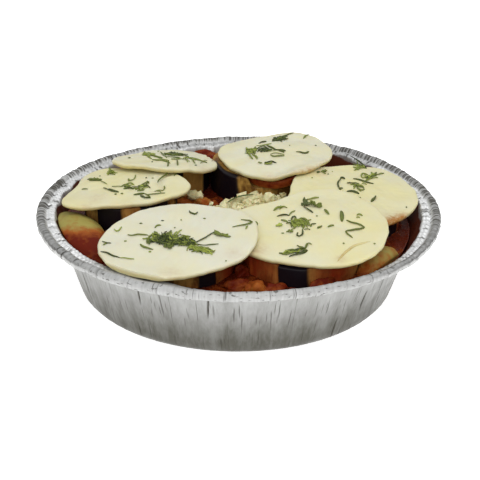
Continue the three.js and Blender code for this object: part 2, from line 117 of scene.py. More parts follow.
# Loose lumps of cooked tomato: place, half lengths, turn in degrees and how orange they are
TOMATO_BITS = (
    (2, -85, 36.6, 8, 4, 3.6, 12, 0.1), (10, -90, 37.6, 6, 4, 4.4, -8, 0.75),
    (20, -88, 36.6, 6, 4, 3.4, 15, 0.2), (44, -85, 37.5, 8, 4, 4.5, 24, 0.1),
    (-31, 19, 39, 6, 4, 3.6, 15, 0.9), (-21, 18, 39.2, 6, 4, 3.8, -25, 1.0),
    (-14, 18, 38.0, 4, 3, 2.4, 50, 0.5), (-22, 92, 41, 10, 4, 4, 6, 0.2),
    (-17, 68, 43, 5, 6, 9, 0, 0.0), (3, -69, 36.8, 5.5, 5, 4.8, 20, 0.1),
)

# A soft dent pressed into the cheese: points along it, its depth and its width
CREASES = {"left": (((-46, -4), (-46, 6), (-45, 15), (-37, 21)), 0.9, 2.2)}

# A fold that stands on a slice: points along it, its width and height
FOLDS = {
    "front_right": (
        ((51, -86.5), (53.5, -82), (56.5, -77.5), (60.5, -73), (65, -71), (70, -68.5)), 1.7, 0.85),
}

# Browned, oily or stained places on the cheese: place, radius and strength
STAINS = {
    "right": ((84, -35, 6, 1.8), (89, -31, 6, 1.9), (94, -25, 5, 1.4), (49, 25, 6, 0.35)),
    "left": ((-80, -12, 6, 0.2), (-85, -24, 5, 0.3), (-64, -27, 6, 0.3)),
    "front_right": ((53, -84, 3, 0.3), (10, -74, 6, 0.4), (0, -60, 5, 0.3)),
    "back_left": ((-16, 20, 6, 0.35),),
    "back_center": (
        (41, 16, 3.5, 1.6), (36, 13, 4, 0.9), (47, 20.5, 4.5, 1.5), (54, 26, 5, 0.8), (20, 15, 6, 0.3)),
    "front_left": ((-1, -82, 5, 0.2), (-32, -99, 6, 0.2)),
}

# Parsley that stands out, on each slice: width, shade from dark 0 to light 1, and x and y of the
# points along it
STRANDS = {
    "front_left": (
        (0.7, 0.1, -70, -65, -67.5, -67.5, -65, -68), (0.6, 0.4, -69, -69.5, -67.5, -67.5),
        (0.8, 0.35, -57, -60.5, -55, -62.5, -51.5, -62, -46, -63.5),
        (0.8, 0.45, -43, -56.5, -42, -54, -40, -53),
        (0.8, 0.1, -22, -73, -17.5, -70, -14, -66.5, -11, -62),
        (0.6, 0.2, -21.5, -73, -17.5, -75, -13.5, -75, -9, -74),
        (1.2, 0.35, -49.5, -71.5, -48, -74, -45, -75.5, -42.5, -76.5),
        (0.7, 0.75, -65, -54, -62.5, -57.5, -61, -52),
        (0.8, 0.05, -69.5, -75.5, -66.5, -77, -63, -81, -59, -82.5),
        (0.5, 0.6, -59, -82.5, -55, -84, -51.5, -84.5),
        (1.1, 0.3, -2, -58.5, 3, -57.5, 7, -57, 8.5, -55, 7.5, -53, 2.5, -52),
        (0.8, 0.5, 5, -61.5, 6, -58.5),
        (0.9, 0.1, -25.5, -38.5, -25, -41.5, -23.5, -42.5, -22, -43.5, -21, -40),
        (0.7, 0.8, -31.5, -66, -29.5, -60, -28.5, -59), (0.7, 0.7, -33, -66, -31, -61),
    ),
    "front_right": (
        (1.3, 0, 22, -42.5, 23.5, -41.5, 28.5, -42.5), (0.7, 0.45, 28.5, -42.5, 29.5, -40, 32, -37.5),
        (1, 0.4, 24, -47, 26, -48.5, 27.5, -49.5), (0.9, 0.1, 29.5, -48.5, 30, -44.5, 32, -44, 32, -47),
        (1.8, 0.35, 33, -48, 35.5, -45.5, 38, -49, 39, -52.5), (0.7, 0.15, 39.5, -54, 40, -52, 42.5, -51),
        (1.4, 0.25, 43, -55.5, 45.5, -53.5), (0.9, 0.35, 48.5, -54.5, 52, -53),
        (0.9, 0.05, 35, -56, 35, -62.5, 33, -64.5, 31.5, -63.5, 32.5, -59.5),
        (0.7, 0.3, 36, -56.5, 39, -57), (1.5, 0.1, 37, -33, 39.5, -37, 41.5, -40.5),
        (1.4, 0.6, 38.5, -24.5, 41.5, -23.5, 46, -21), (1.4, 0.35, 48, -36.5, 49, -39, 50, -42),
        (2.2, 0.3, 57, -39, 57, -43.5, 56.5, -49), (0.8, 0.55, 65, -43.5, 66.5, -42, 68, -43.5),
        (0.7, 0.6, 64.5, -45.5, 66.5, -45.5), (1.1, 0.3, 59, -48, 62, -50.5, 66, -52.5, 68, -55),
        (1.2, 0.25, 68, -55, 66.5, -56.5, 62, -57.5, 57.5, -59),
        (0.8, 0.35, 57.5, -59, 58, -62.5, 60.5, -66),
        (1.7, 0.25, 22, -78.5, 25, -80.5, 27, -79, 30.5, -76.5, 35, -76, 36, -77),
        (1.8, 0.08, 27, -82, 30.5, -80.5, 34.5, -79.5, 36.5, -77),
        (1.3, 0.3, 31.5, -72, 34, -75, 35.5, -75.5), (1.2, 0.3, 35.5, -75.5, 36.5, -72, 37, -71),
        (0.6, 0.3, 37, -71, 39, -72), (1.4, 0.45, 25.5, -78.5, 26, -76.5),
        (1.6, 0.35, 10.5, -51.5, 11, -47.5),
    ),
    "right": (
        (1.3, 0, 72, 61, 76, 51, 80, 40), (1.5, 0.1, 64.5, 18, 63, 20, 62, 18.5),
        (1, 0.1, 63, 20, 61, 16, 59.5, 10, 59.5, 7, 60, 2), (1.3, 0.15, 60, 2, 62, 4.5),
        (0.9, 0.35, 72, 44, 74, 41.5, 76, 45, 77, 39, 80, 38.5),
        (0.8, 0.45, 71.5, 33.5, 74.5, 35.5, 78, 39.5), (0.8, 0.3, 75, 51, 75, 42),
        (0.8, 0.5, 71.5, 39, 73, 36.5, 75.5, 38.5), (0.9, 0.45, 75.5, 22, 75, 26.5, 77, 29, 80, 26.5),
        (0.9, 0.5, 75.5, 22, 78, 23.5, 81, 25.5), (1.3, 0.25, 79, 23.5, 84, 28),
        (0.9, 0.35, 84, 28, 87, 30.5, 90, 33.5), (1.2, 0.3, 81.5, 23.5, 83.5, 28, 85.5, 33),
        (1.4, 0.15, 69.5, 19, 73.5, 18, 77.5, 16, 81.5, 16.5), (0.8, 0.45, 75, 15, 78.5, 20.5, 82.5, 24.5),
        (0.9, 0.35, 68.5, 7, 71.5, 12, 71.5, 9, 70.5, 5, 72.5, 2),
        (0.8, 0.5, 68.5, 10.5, 70, 8.5, 68.5, 4.5), (0.7, 0.5, 74, 12, 77, 12.5),
        (0.8, 0.4, 70.5, 5, 73, 3, 74.5, 4.5), (1.7, 0.1, 64, 0, 67.5, 1, 71, -1.5),
        (1, 0.35, 63.5, -4, 64, -6.5, 67.5, -8, 71.5, -6.5), (1.9, 0.15, 80.5, -2.5, 79, -7, 77, -10.5),
        (0.7, 0.4, 51.5, 27, 53.5, 24), (1.5, 0.1, 48.5, 24.5, 50, 27),
    ),
    "back_center": (
        (1.1, 0.2, 23.5, 69, 28.5, 76.5, 33.5, 80.5, 37, 85), (1.4, 0.1, 14, 66, 16.5, 68.5, 19, 69.5),
        (0.7, 0.6, 12.5, 62, 17.5, 62, 22, 64.5), (1.2, 0.15, 19, 62, 22, 57, 24.5, 54.5),
        (1.9, 0.15, 24.5, 54.5, 27, 53.5, 30.5, 52), (1.3, 0.2, 25, 54.5, 29.5, 49.5),
        (0.9, 0.3, 19, 51.5, 22, 52.5, 25, 53.5), (1.1, 0.35, 21, 46, 22.5, 43, 25.5, 43.5, 29.5, 44.5),
        (0.9, 0.5, 21, 47, 24, 49, 29.5, 46.5), (1.6, 0.2, 37, 51, 39.5, 51.5, 41, 49, 43, 48.5, 45, 51.5),
        (1, 0.4, 13, 34.5, 14.5, 33, 15.5, 33.5), (1.2, 0.35, 17, 31.5, 20.5, 36, 23.5, 33.5),
        (1, 0.5, 18, 31, 21, 32.5), (1.1, 0.45, 43, 75.5, 45.5, 82, 47.5, 83.5),
        (1.2, 0.5, 10, 40.5, 8.5, 46, 6.5, 54.5), (1.3, 0.55, 9.5, 49.5, 12.5, 44, 12.5, 39.5),
    ),
    "back_left": (
        (1.5, 0.6, -59, 66, -56.5, 55, -53.5, 44), (1.3, 0.45, -58.5, 54.5, -55, 43, -52, 38),
        (1, 0.65, -56.5, 66, -56, 45), (1.2, 0.3, -53.5, 46, -49.5, 41.5, -45.5, 40),
        (1, 0.4, -51.5, 36, -47.5, 34, -43.5, 32.5, -40, 27.5), (0.9, 0.5, -48, 40, -45, 35.5, -41, 33),
        (1.8, 0.1, -46, 56, -43, 69, -39, 67), (1.7, 0.12, -44, 64, -39, 57, -33.5, 55.5),
        (1.2, 0.2, -43.5, 43, -39, 43, -34.5, 40), (0.9, 0.35, -49, 71, -46, 56, -43, 40),
        (1.3, 0.25, -37, 65.5, -32, 58, -29, 47.5), (1, 0.35, -30, 52, -26.5, 48, -23, 48),
        (0.9, 0.6, -31, 54, -29.5, 28), (1, 0.45, -28, 51, -26.5, 36, -25, 28.5),
        (0.9, 0.35, -24.5, 42, -20.5, 39, -18, 37.5), (0.8, 0.4, -22, 33.5, -20, 41, -18.5, 49),
        (0.8, 0.5, -33, 38, -30.5, 33.5, -28.5, 32), (0.9, 0.5, -40, 36, -36, 33, -32.5, 35),
        (0.6, 0.35, -67, 43, -65, 41),
    ),
    "left": (
        (1.2, 0.55, -78.5, 39, -76.5, 31.5, -77.5, 24.5), (1.4, 0.45, -78, 31, -75.5, 26.5, -73, 24),
        (1, 0.6, -77, 35.5, -75, 28.5), (1.9, 0.35, -88.5, 19.5, -84.5, 15, -80, 16),
        (1.3, 0.2, -87.5, 15.5, -83, 13.5, -80, 14), (0.5, 0.4, -80, 13, -76, 8.5),
        (0.7, 0.3, -90, 2.5, -86.5, 2), (0.9, 0.15, -77.5, 3, -74.5, -1),
        (1.6, 0.12, -74.5, -1, -71, -5.5, -67.5, -6.5), (0.6, 0.3, -72.5, 3.5, -70, 1, -66, 1.5),
        (1.6, 0.15, -65, -2, -62, -0.5, -59.5, -2.5), (1.1, 0.25, -60.5, -1.5, -57.5, -1.5, -54.5, -5),
        (1.2, 0.4, -64, 14.5, -63, 10, -61, 13.5), (0.7, 0.5, -61, 13, -60, 16.5, -60.5, 21),
        (0.8, 0.5, -65.5, 2, -63.5, 6, -61.5, 7, -59.5, 3.5),
        (0.9, 0.3, -58, -4, -56.5, 0.5, -54, 4.5, -52, 9),
        (0.9, 0.2, -55.5, -6, -53.5, -2, -51.5, 8.5, -51, 4.5), (0.8, 0.4, -57, -6, -54, -5.5, -53, -4),
        (1.2, 0.2, -58.5, -10.5, -55, -11.5, -52.5, -9.5),
        (1.7, 0.1, -54.5, -13, -51.5, -16, -48.5, -16.5), (0.8, 0.3, -52.5, -9.5, -49.5, -14, -48.5, -16),
        (0.6, 0.25, -51, -11.5, -46, -12, -40.5, -11.5), (1.1, 0.35, -47, -4.5, -44.5, -7, -42, -8),
        (0.8, 0.4, -42, -8, -41, -5, -42, 0), (0.6, 0.5, -46.5, -5.5, -43, -10),
    ),
}

# Heaps of chopped parsley: place, half length, half width, turn in degrees, shreds and shade
CLUMPS = {
    "front_left": (
        (-34, -69, 13, 5, -10, 95, 0.2), (-18, -79, 8, 3, -28, 26, 0.6), (-26, -72, 5, 3, -20, 26, 0.05),
    ),
    "front_right": (
        (33, -50, 7, 3.5, -12, 16, 0.5), (30, -78, 6, 2, 20, 6, 0.3), (24, -33, 2, 1.5, 40, 3, 0.6),
    ),
    "right": ((76, 40, 4, 4, 60, 6, 0.45), (80, 25, 5, 4, 20, 6, 0.5), (71, 9, 3, 4, 0, 5, 0.6)),
    "back_center": (
        (9, 52, 4, 5, 0, 14, 0.5), (17, 55, 3.5, 4, 0, 12, 0.15), (28, 73, 6, 3.5, 40, 18, 0.15),
        (20, 33, 3, 2, 0, 3, 0.5),
    ),
    "back_left": (
        (-55, 50, 4, 9, 0, 10, 0.4), (-40, 60, 8, 6, -25, 18, 0.12), (-27, 46, 6, 6, -30, 8, 0.4),
    ),
    "left": ((-63, 2, 4, 4, 30, 5, 0.35), (-54, 0, 3, 6, 10, 5, 0.3), (-76, 29, 3, 4, 0, 5, 0.5)),
}

# Whole bits of leaf: place, half length, half width, turn in degrees, curl and shade
LEAVES = {
    "front_left": (
        (-8, -66, 4.6, 1.4, -25, 0.5, 0.35), (-41.5, -66, 2, 3.2, 5, 0.4, 0.35),
        (-35.5, -66, 2.6, 3.2, 2, 0.4, 0.25), (-27, -71, 2.2, 2.8, 10, 0.4, 0.12),
        (-34.5, -74.5, 2.6, 2.2, -18, 0.4, 0.22), (-45, -69.5, 1.6, 1.7, 15, 0.3, 0.25)),
    "front_right": (
        (38, -29.5, 1.9, 4.2, 3, 0.8, 0.1), (43, -32, 4.4, 1.6, -45, 1.4, 0.3),
        (23, -52.5, 1.6, 1.2, 28, 0.3, 0.9), (31.5, -52, 2.6, 2.4, -1, 0.4, 0.6),
        (28.5, -58.5, 1.5, 1.2, 2, 0.3, 0.35)),
    "right": ((53, 28, 1.8, 1.2, 40, 0.3, 0.3), (83, 28, 1.8, 1.4, 40, 0.3, 0.4)),
    "back_center": (
        (28, 72.5, 5, 2.4, 41, 0.5, 0.1), (7.5, 53, 4.2, 1.4, -82, 0.4, 0.65),
        (11, 55.5, 2, 2, -48, 0.3, 0.3), (17, 53.5, 2.8, 2, -51, 0.4, 0.12)),
    "back_left": ((-57, 56, 2.4, 5, 0, 0.5, 0.5), (-41, 63, 4, 2.6, -30, 0.6, 0.1)),
    "left": ((-76.5, 30, 1.8, 2.6, 0, 0.4, 0.5), (-84.5, 16, 3.4, 1.2, -20, 0.4, 0.35)),
}

# Specks of parsley on each slice
SPECKS = {
    "front_left": ((-57.5, -67.5), (-51, -49.5), (-32.5, -56), (-29.5, -48.5), (-17, -48), (-39.5, -48),
                   (-5, -89), (-24, -77), (-44, -78.5)),
    "front_right": ((55.5, -71), (71.5, -70.5), (43.5, -43.5), (44, -54.5), (50, -53.5), (24.5, -60)),
    "right": ((97, -12.5), (45, 17.5), (74.5, 5), (55, 24), (58, 29)),
    "back_center": ((9.5, 42), (50, 62), (33.5, 61)),
    "back_left": ((-66, 42.5), (-50.5, 72), (-24.5, 25), (-51, 30.5)),
    "left": ((-49.5, 13), (-65.5, -8), (-69, -9), (-53.5, 15), (-82, 23)),
}

# Stems that hang from one thing to another: width, shade, and points with their heights
HANGING = (
    (1.0, 0.25, (
        (-41, 30, 61.8), (-41, 21, 62.0), (-41, 17.5, 58.4), (-43, 15, 57.9), (-45.5, 9.5, 57.8),
        (-46, 5, 57.8))),
    (1.0, 0.25, ((-36, 31, 62.0), (-35, 22, 62.4), (-35.5, 17.5, 59), (-37, 14, 58.2))),
    (1.1, 0.15, ((-5, 4, 46.0), (0, 7, 48.0), (6, 9, 48.6), (10, 11, 48.0))),
)

# Large single crumbs of cheese that lie about the heap: place and half length
LARGE_CRUMBS = (
    (-26, 19.5, 44.2, 3.6), (-22, 19, 43.6, 2.6), (-15, 13, 41, 1.8), (-8, 10, 41, 2.8),
    (-2, 12.5, 42.6, 2.6), (3, 15, 44, 3.6), (11, 15, 44.6, 3.8), (16.5, 13, 44, 3.0),
    (28, 17, 45, 2.2), (25, 16.5, 44.6, 1.8), (12, 7, 44.8, 2.4), (6, 8, 44, 2.4),
)

# The heap of grated cheese, and the angle from one crumb to the next that strews them evenly
HEAP = Sizes(x=15, y=7, long=30, wide=15, height=6)
GOLDEN_ANGLE = 2.39996

# Where the rim of the tray is bent up or down, where it is pulled out, and the dent in its wall:
# direction and spread in degrees, and how far
RIM_BENDS = ((52, 28, 1.8), (-40, 20, -1.5), (122, 22, -1.2))
RIM_PULL = (-5, 48, 2.7)
DENT = (222, 18, 1.5)

# Radius at which lengths along the rim are measured, in creases and in the foil's hairlines
RIM_ARC = 105

# Space kept between two pieces that would touch, between food and the wall, and between the sauce
# and the wall, and the height over which one thing that lies on another blends into it
TOUCH_GAP = 0.1
WALL_GAP = 0.7
SAUCE_GAP = 0.55
BLEND = 1.2

# Samples along each shred of parsley, and how many crumbs there are
SAMPLES = 9
CRUMBS = 300

# Half side of the studio's floor in metres, how far the photo's middle lies beside the lens's, and
# the area lights: name, setting that holds the power, side and place in metres
FLOOR_HALF = 4
LENS_SHIFT = 3.87 / 480
SOFTBOXES = (
    ("softbox_overhead", "softbox", 1.4, (0.3, -0.45, 1.6)),
    ("softbox_low", "fill", 0.9, (-0.25, -1.3, 0.7)),
)


def length(name, description, default):
    """A size in metres that the panel shows with its unit."""
    return FloatProperty(
        name=name, description=description, default=default, min=0, unit="LENGTH", precision=5)


def linear(code):
    """A colour as it is mixed in a shader, from its sRGB hex code: each channel up to 0.04045 is
    divided by 12.92, and above that raised to 2.4 after (c + 0.055) / 1.055."""
    channels = [int(code[i:i + 2], 16) / 255 for i in (0, 2, 4)]
    return tuple(c / 12.92 if c <= 0.04045 else ((c + 0.055) / 1.055) ** 2.4 for c in channels)


def colour(name, description, code):
    """A colour that the panel shows, from its sRGB hex code."""
    return FloatVectorProperty(
        name=name, description=description, default=linear(code), subtype="COLOR", size=3, min=0, max=1)


class TraySizes(bpy.types.PropertyGroup):
    """Sizes of the foil tray."""
    rim_radius: length("Rim radius", "From the middle to the outside of the bead", 0.115)
    rim_height: length("Rim height", "From the table to the top of the bead", 0.0486)
    bead_radius: length("Bead radius", "Radius of the rolled edge", 0.0028)
    base_radius: length("Base radius", "Radius of the flat base", 0.0855)
    corner_radius: length("Corner radius", "Radius of the wall just above the base", 0.0934)
    corner_height: length("Corner height", "Height at which the wall turns straight", 0.0065)
    wall_top: length("Wall top", "Height at which the wall ends under the shoulder", 0.042)
    crest_radius: length("Crest radius", "Radius of the inner edge of the shoulder", 0.105)
    crest_height: length("Crest height", "Height of the inner edge of the shoulder", 0.0464)
    gutter_radius: length("Gutter radius", "Radius of the low line inside the bead", 0.1086)
    gutter_height: length("Gutter height", "Height of the low line inside the bead", 0.0462)
    foil: length("Foil thickness", "Thickness of the foil", 0.0008)
    wave_depth: length("Wave depth", "Depth of the wide waves of the foil", 0.0004)
    pleat_depth: length("Pleat depth", "Depth of the close pleats of the shoulder", 0.0006)
    crease_depth: length("Crease depth", "Depth of the deepest sharp crease", 0.0006)
    wall_slope: FloatProperty(
        name="Wall slope", description="How far the wall leans out for each unit of height", default=0.286)


class FoodSizes(bpy.types.PropertyGroup):
    """Sizes of the food in the tray."""
    sauce_level: length("Sauce level", "Height of the sauce above the table", 0.0365)
    slice_thickness: length("Cheese thickness", "Thickness of a cheese slice", 0.0032)
    layer_gap: length("Layer gap", "Space between one layer and the next", 0.0008)
    droop: length("Droop", "How far the edge of a slice hangs below its middle", 0.0014)
    reach: length("Reach", "Radius inside the bead that no slice goes beyond", 0.1084)
    rest_height: length("Rest height", "Height at which a slice lies on the tray", 0.04755)
    rest_radius: length("Rest radius", "Radius of the crest on which a slice lies", 0.105)
    round_bottom: length("Round bottom", "Height of the underside of the eggplant rounds", 0.018)
    peel_relief: length("Peel relief", "How far the bands of peel stand proud", 0.0009)
    tomato_thickness: length("Tomato thickness", "Thickness of the tomato slice", 0.005)
    shred_thickness: length("Parsley thickness", "Thickness of the parsley", 0.00035)


class DishColours(bpy.types.PropertyGroup):
    """Colours of the dish."""
    foil: colour("Foil", "Bright side of the foil", "dfe0e0")
    # Painted reflection: this darker foil colour stands in for foil that reflects the shaded table
    foil_shaded: colour("Shaded foil", "Foil that reflects the shaded table", "5f5e57")
    # Painted shade in the creases of the foil, its hairlines and the dark streaks of the bead
    foil_crease: colour("Foil crease", "Sharp creases in the foil", "3c3830")
    cheese: colour("Cheese", "Middle of the cheese slices", "dcdac4")
    cheese_warm: colour("Warm cheese", "Riper parts of the cheese", "dfd8a4")
    # Partly the real yellower edge, partly painted shade down the side of a slice and along the fold
    cheese_edge: colour("Cheese edge", "Edge of the cheese slices", "d3c588")
    cheese_stain: colour("Cheese stain", "Oil and browning on the cheese", "a8712c")
    flesh: colour("Flesh", "Lighter baked eggplant flesh", "d8aa58")
    flesh_dark: colour("Dark flesh", "Darker baked eggplant flesh", "6e4a1e")
    flesh_stained: colour("Stained flesh", "Flesh soaked with sauce", "923216")
    peel: colour("Peel", "Eggplant peel", "150e14")
    tomato: colour("Tomato", "Ripe cooked tomato", "641c0a")
    tomato_orange: colour("Orange tomato", "Paler cooked tomato", "9c5420")
    tomato_shoulder: colour("Tomato shoulder", "Unripe shoulder of a tomato", "9f9450")
    sauce: colour("Sauce", "Reduced tomato sauce", "561c0c")
    sauce_baked: colour("Baked sauce", "Sauce baked onto the wall of the tray", "4a2412")
    sauce_oil: colour("Oil", "Orange oil on the sauce", "a4521f")
    crumb: colour("Grated cheese", "Crumbs of grated cheese", "e8e2b6")
    crumb_shaded: colour("Shaded crumb", "Browner crumbs of grated cheese", "a8985a")
    parsley_dark: colour("Dark parsley", "Darkest parsley", "2a360a")
    parsley_light: colour("Light parsley", "Lightest parsley", "a9b64c")
    floor: colour("Floor", "Floor of the studio", "f7f7f7")
    floor_cloud: colour("Floor clouds", "Slightly lighter parts of the floor", "f9f9f9")


class StudioSettings(bpy.types.PropertyGroup):
    """Camera and light of the studio."""
    distance: length("Camera distance", "From the camera to the point that it looks at", 0.6)
    look_height: length("Look height", "Height of the point that the camera looks at", 0.02329)
    elevation: FloatProperty(
        name="Elevation", description="Angle of the camera above the table",
        default=math.radians(25.04), subtype="ANGLE")
    roll: FloatProperty(
        name="Roll", description="Turn of the camera about its line of sight",
        default=math.radians(0.35), subtype="ANGLE")
    lens: FloatProperty(name="Lens", description="Focal length", default=0.0759, unit="CAMERA")
    sky: FloatProperty(name="Sky", description="Strength of the light from the white ceiling", default=0.78)
    horizon: colour("Horizon", "Colour of the dim room near the horizon", "6e6a64")
    softbox: FloatProperty(
        name="Softbox", description="Power of the light above the dish", default=8, unit="POWER")
    fill: FloatProperty(name="Fill", description="Power of the low light in front", default=5, unit="POWER")
    glow: FloatProperty(name="Floor glow", description="Light that the floor gives by itself", default=0.7)


def millimetres(group):
    """The lengths of a property group in millimetres, by name, with its other numbers as they are."""
    sizes = Sizes()
    for name in group.__annotations__:
        is_length = group.bl_rna.properties[name].unit == "LENGTH"
        setattr(sizes, name, getattr(group, name) / METRES if is_length else getattr(group, name))
    return sizes


def smooth_step(low, high, value):
    """0 below low, 1 above high, and 3t² - 2t³ between them."""
    share = np.clip((value - low) / (high - low), 0, 1)
    return share * share * (3 - 2 * share)


def ripple(places, size, seed, waves=9):
    """Uneven relief between about -1 and 1: the sum of seeded sine waves that run in all directions,
    each of them 0.7 to 1.6 times `size` long, over the root of their number."""
    places = np.asarray(places, float)
    rng = np.random.default_rng(seed)
    ways = rng.normal(size=(waves, places.shape[-1]))
    ways *= TURN / (size * rng.uniform(0.7, 1.6, (waves, 1)) * np.linalg.norm(ways, axis=1, keepdims=True))
    return np.sin(places @ ways.T + rng.uniform(0, TURN, waves)).sum(-1) / math.sqrt(waves)


def zigzag(angle):
    """A wave of straight flanks and sharp folds between -1 and 1, as pressed foil has."""
    return np.arcsin(np.sin(angle)) * 2 / math.pi


def shares(count):
    """Evenly spaced numbers from 0 to 1."""
    return np.linspace(0, 1, count)


def around(count):
    """Evenly spaced angles round a circle, and the points of the unit circle there."""
    angle = np.linspace(0, TURN, count, endpoint=False)[None, :]
    return angle, np.stack([np.cos(angle), np.sin(angle)], -1)


def turned(x, y, angle):
    """A place turned about the origin by an angle in radians."""
    return x * np.cos(angle) - y * np.sin(angle), x * np.sin(angle) + y * np.cos(angle)


def round_about(middle, radius, angle):
    """Places at a radius and an angle round the middle of something."""
    return middle.x + radius * np.cos(angle), middle.y + radius * np.sin(angle)


def held_in(x, y, limit):
    """Places drawn in towards the middle of the tray to within a radius."""
    held = np.minimum(1, limit / np.maximum(np.hypot(x, y), 1))
    return x * held, y * held


def wrapped(degrees):
    """Degrees brought between -180 and 180."""
    return (degrees + 180) % 360 - 180


def near_angle(angle, at, spread, size=1):
    """A size in one direction round the dish, falling off on both sides over a spread in degrees."""
    return size * np.exp(-(wrapped(np.degrees(angle) - at) / spread) ** 2)


def flattened(values):
    """Grid values in the order of a closed shell's vertices, with each end row drawn into one."""
    tail = values.shape[2:]
    return np.concatenate([values[:1].mean(1), values[1:-1].reshape(-1, *tail), values[-1:].mean(1)])


def ring_quads(first, rings, columns):
    """Quads between rings of vertices that close on themselves, numbered on from a first vertex."""
    ring = np.arange(columns)
    after = (ring + 1) % columns
    start = first + columns * np.arange(rings - 1)[:, None]
    quads = np.stack([start + ring, start + after, start + columns + after, start + columns + ring], -1)
    return quads.reshape(-1, 4)


def shell_faces(rows, columns):
    """Faces of a closed shell: quads between its rings, and a fan of triangles at each end."""
    ring = np.arange(columns)
    after = (ring + 1) % columns
    last = 1 + columns * (rows - 3)
    first_fan = np.stack([np.zeros_like(ring), after + 1, ring + 1], -1)
    last_fan = np.stack([np.full_like(ring, last + columns), last + ring, last + after], -1)
    return ring_quads(1, rows - 2, columns), np.concatenate([first_fan, last_fan])


def enclosed(points, quads, fans):
    """Six times the volume inside the faces, positive when they point outward."""
    triangles = np.concatenate([quads[:, [0, 1, 2]], quads[:, [0, 2, 3]], fans])
    a, b, c = (points[triangles[:, corner]] for corner in range(3))
    return np.einsum("ij,ij->", a, np.cross(b, c))


def add_piece(name, points, faces, marks, material, slot=None, replaces=None, smooth=True):
    """Puts points in millimetres and faces into a mesh object that rides on the dish. Marks are
    numbers at the vertices, by the name under which the material reads them."""
    mesh = bpy.data.meshes.new(name)
    mesh.from_pydata((points * METRES).tolist(), [], [face.tolist() for face in faces])
    for mark, values in marks.items():
        attribute = mesh.attributes.new(mark, "FLOAT", "POINT")
        attribute.data.foreach_set("value", np.ascontiguousarray(values, np.float32).ravel())
    mesh.polygons.foreach_set("use_smooth", np.full(len(mesh.polygons), smooth))
    mesh.materials.append(material)
    mesh.update()
    piece = bpy.data.objects.new(name, mesh)
    bpy.context.scene.collection.objects.link(piece)
    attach(piece, "root")
    if replaces:
        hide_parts(replaces)


def outward(points, rows, columns):
    """Quads and fans of a closed shell, turned so that they face outward."""
    quads, fans = shell_faces(rows, columns)
    if enclosed(points, quads, fans) < 0:
        quads, fans = quads[:, ::-1], fans[:, ::-1]
    return quads, fans


def add_shell(name, grid, marks, material, **options):
    """Adds a closed shell from a grid of points and its marks."""
    points = flattened(grid)
    quads, fans = outward(points, *grid.shape[:2])
    marks = {mark: flattened(np.broadcast_to(values, grid.shape[:2])) for mark, values in marks.items()}
    add_piece(name, points, [*quads, *fans], marks, material, **options)


def joined_shells(grids):
    """Points and faces of many closed shells of the same layout, from an array of their grids."""
    points = np.stack([flattened(grid) for grid in grids])
    quads, fans = outward(points[0], *grids.shape[1:3])
    offset = np.arange(len(grids))[:, None, None] * points.shape[1]
    return points.reshape(-1, 3), [*(quads + offset).reshape(-1, 4), *(fans + offset).reshape(-1, 3)]


def add_many(name, points, faces, tones, material, mark="shade", **options):
    """Adds one piece made of many small bodies of the same layout, each of them with its tone."""
    marks = {mark: np.repeat(tones, len(points) // len(tones))}
    add_piece(name, points, faces, marks, material, **options)


def fill(made, values):
    """Fills in a node's properties and inputs, by name or number. Other nodes and sockets are linked
    to its inputs, and a colour gets full opacity."""
    for key, value in values.items():
        if isinstance(value, bpy.types.Node):
            value = next(output for output in value.outputs if output.enabled)
        if isinstance(value, bpy.types.NodeSocket):
            made.id_data.links.new(value, made.inputs[key])
        elif isinstance(key, str) and key in made.bl_rna.properties:
            setattr(made, key, value)
        elif made.inputs[key].type == "RGBA":
            made.inputs[key].default_value = (*value, 1)
        else:
            made.inputs[key].default_value = value


def node(tree, kind, values):
    """Adds a node with its settings and links."""
    made = tree.nodes.new("ShaderNode" + kind)
    fill(made, values)
    return made


def new_material(name, *marks):
    """A new material, what adds a node to it, its shader, the place in the object, and the marks of
    the mesh."""
    material = bpy.data.materials.new(name)
    material.use_nodes = True
    add = partial(node, material.node_tree)
    place = add("TexCoord", {}).outputs["Object"]
    read = [add("Attribute", {"attribute_name": mark}).outputs["Fac"] for mark in marks]
    return material, add, material.node_tree.nodes["Principled BSDF"], place, *read


def slice_shares(slice_, x, y):
    """A point in a slice's own turned axes, as shares of its half lengths."""
    along, across = turned(x - slice_.x, y - slice_.y, -math.radians(slice_.turn))
    return along / slice_.long, across / slice_.wide


def slice_outline(slice_, angle, share, food):
    """Points of a slice's outline scaled by a share from its centre: an ellipse with three-, four-
    and five-cornered bulges, kept inside the tray's bead."""
    bulge = share * (1 + sum(
        size * np.cos(corners * (angle - math.radians(at))) for corners, size, at in slice_.bulges))
    along, across = slice_.long * bulge * np.cos(angle), slice_.wide * bulge * np.sin(angle)
    x, y = turned(along, across, math.radians(slice_.turn))
    return held_in(slice_.x + x, slice_.y + y, food.reach)


def smooth_larger(a, b):
    """The larger of two heights, blended where they are close and never lower than either."""
    return 0.5 * (a + b + np.sqrt((a - b) ** 2 + BLEND ** 2))


def slice_top(name, x, y, food):
    """Height of a slice's top: its own tilted plane, drooping with the square of the distance from
    its centre, lifted over the tray's crest and over the slices that it lies on."""
    slice_ = SLICES[name]
    along, across = slice_shares(slice_, x, y)
    dx, dy = x - slice_.x, y - slice_.y
    own = (slice_.z + slice_.tilt_x * dx + slice_.tilt_y * dy - food.droop * (along ** 2 + across ** 2)
           + slice_.curl * np.maximum(0, dx / slice_.long - 0.3))
    crest = food.rest_height - 0.4 * np.maximum(0, food.rest_radius - np.hypot(x, y))
    underside = smooth_larger(own - food.slice_thickness, crest)
    for lower in slice_.over:
        u, v = slice_shares(SLICES[lower], x, y)
        beyond = np.maximum(0, np.hypot(u, v) - 1) * SLICES[lower].wide
        underside = smooth_larger(underside, slice_top(lower, x, y, food) + food.layer_gap - 0.35 * beyond)
    return underside + food.slice_thickness


def under_slice(name, x, y, food):
    """Height up to which something may reach under a slice."""
    return slice_top(name, x, y, food) - food.slice_thickness - food.layer_gap - TOUCH_GAP


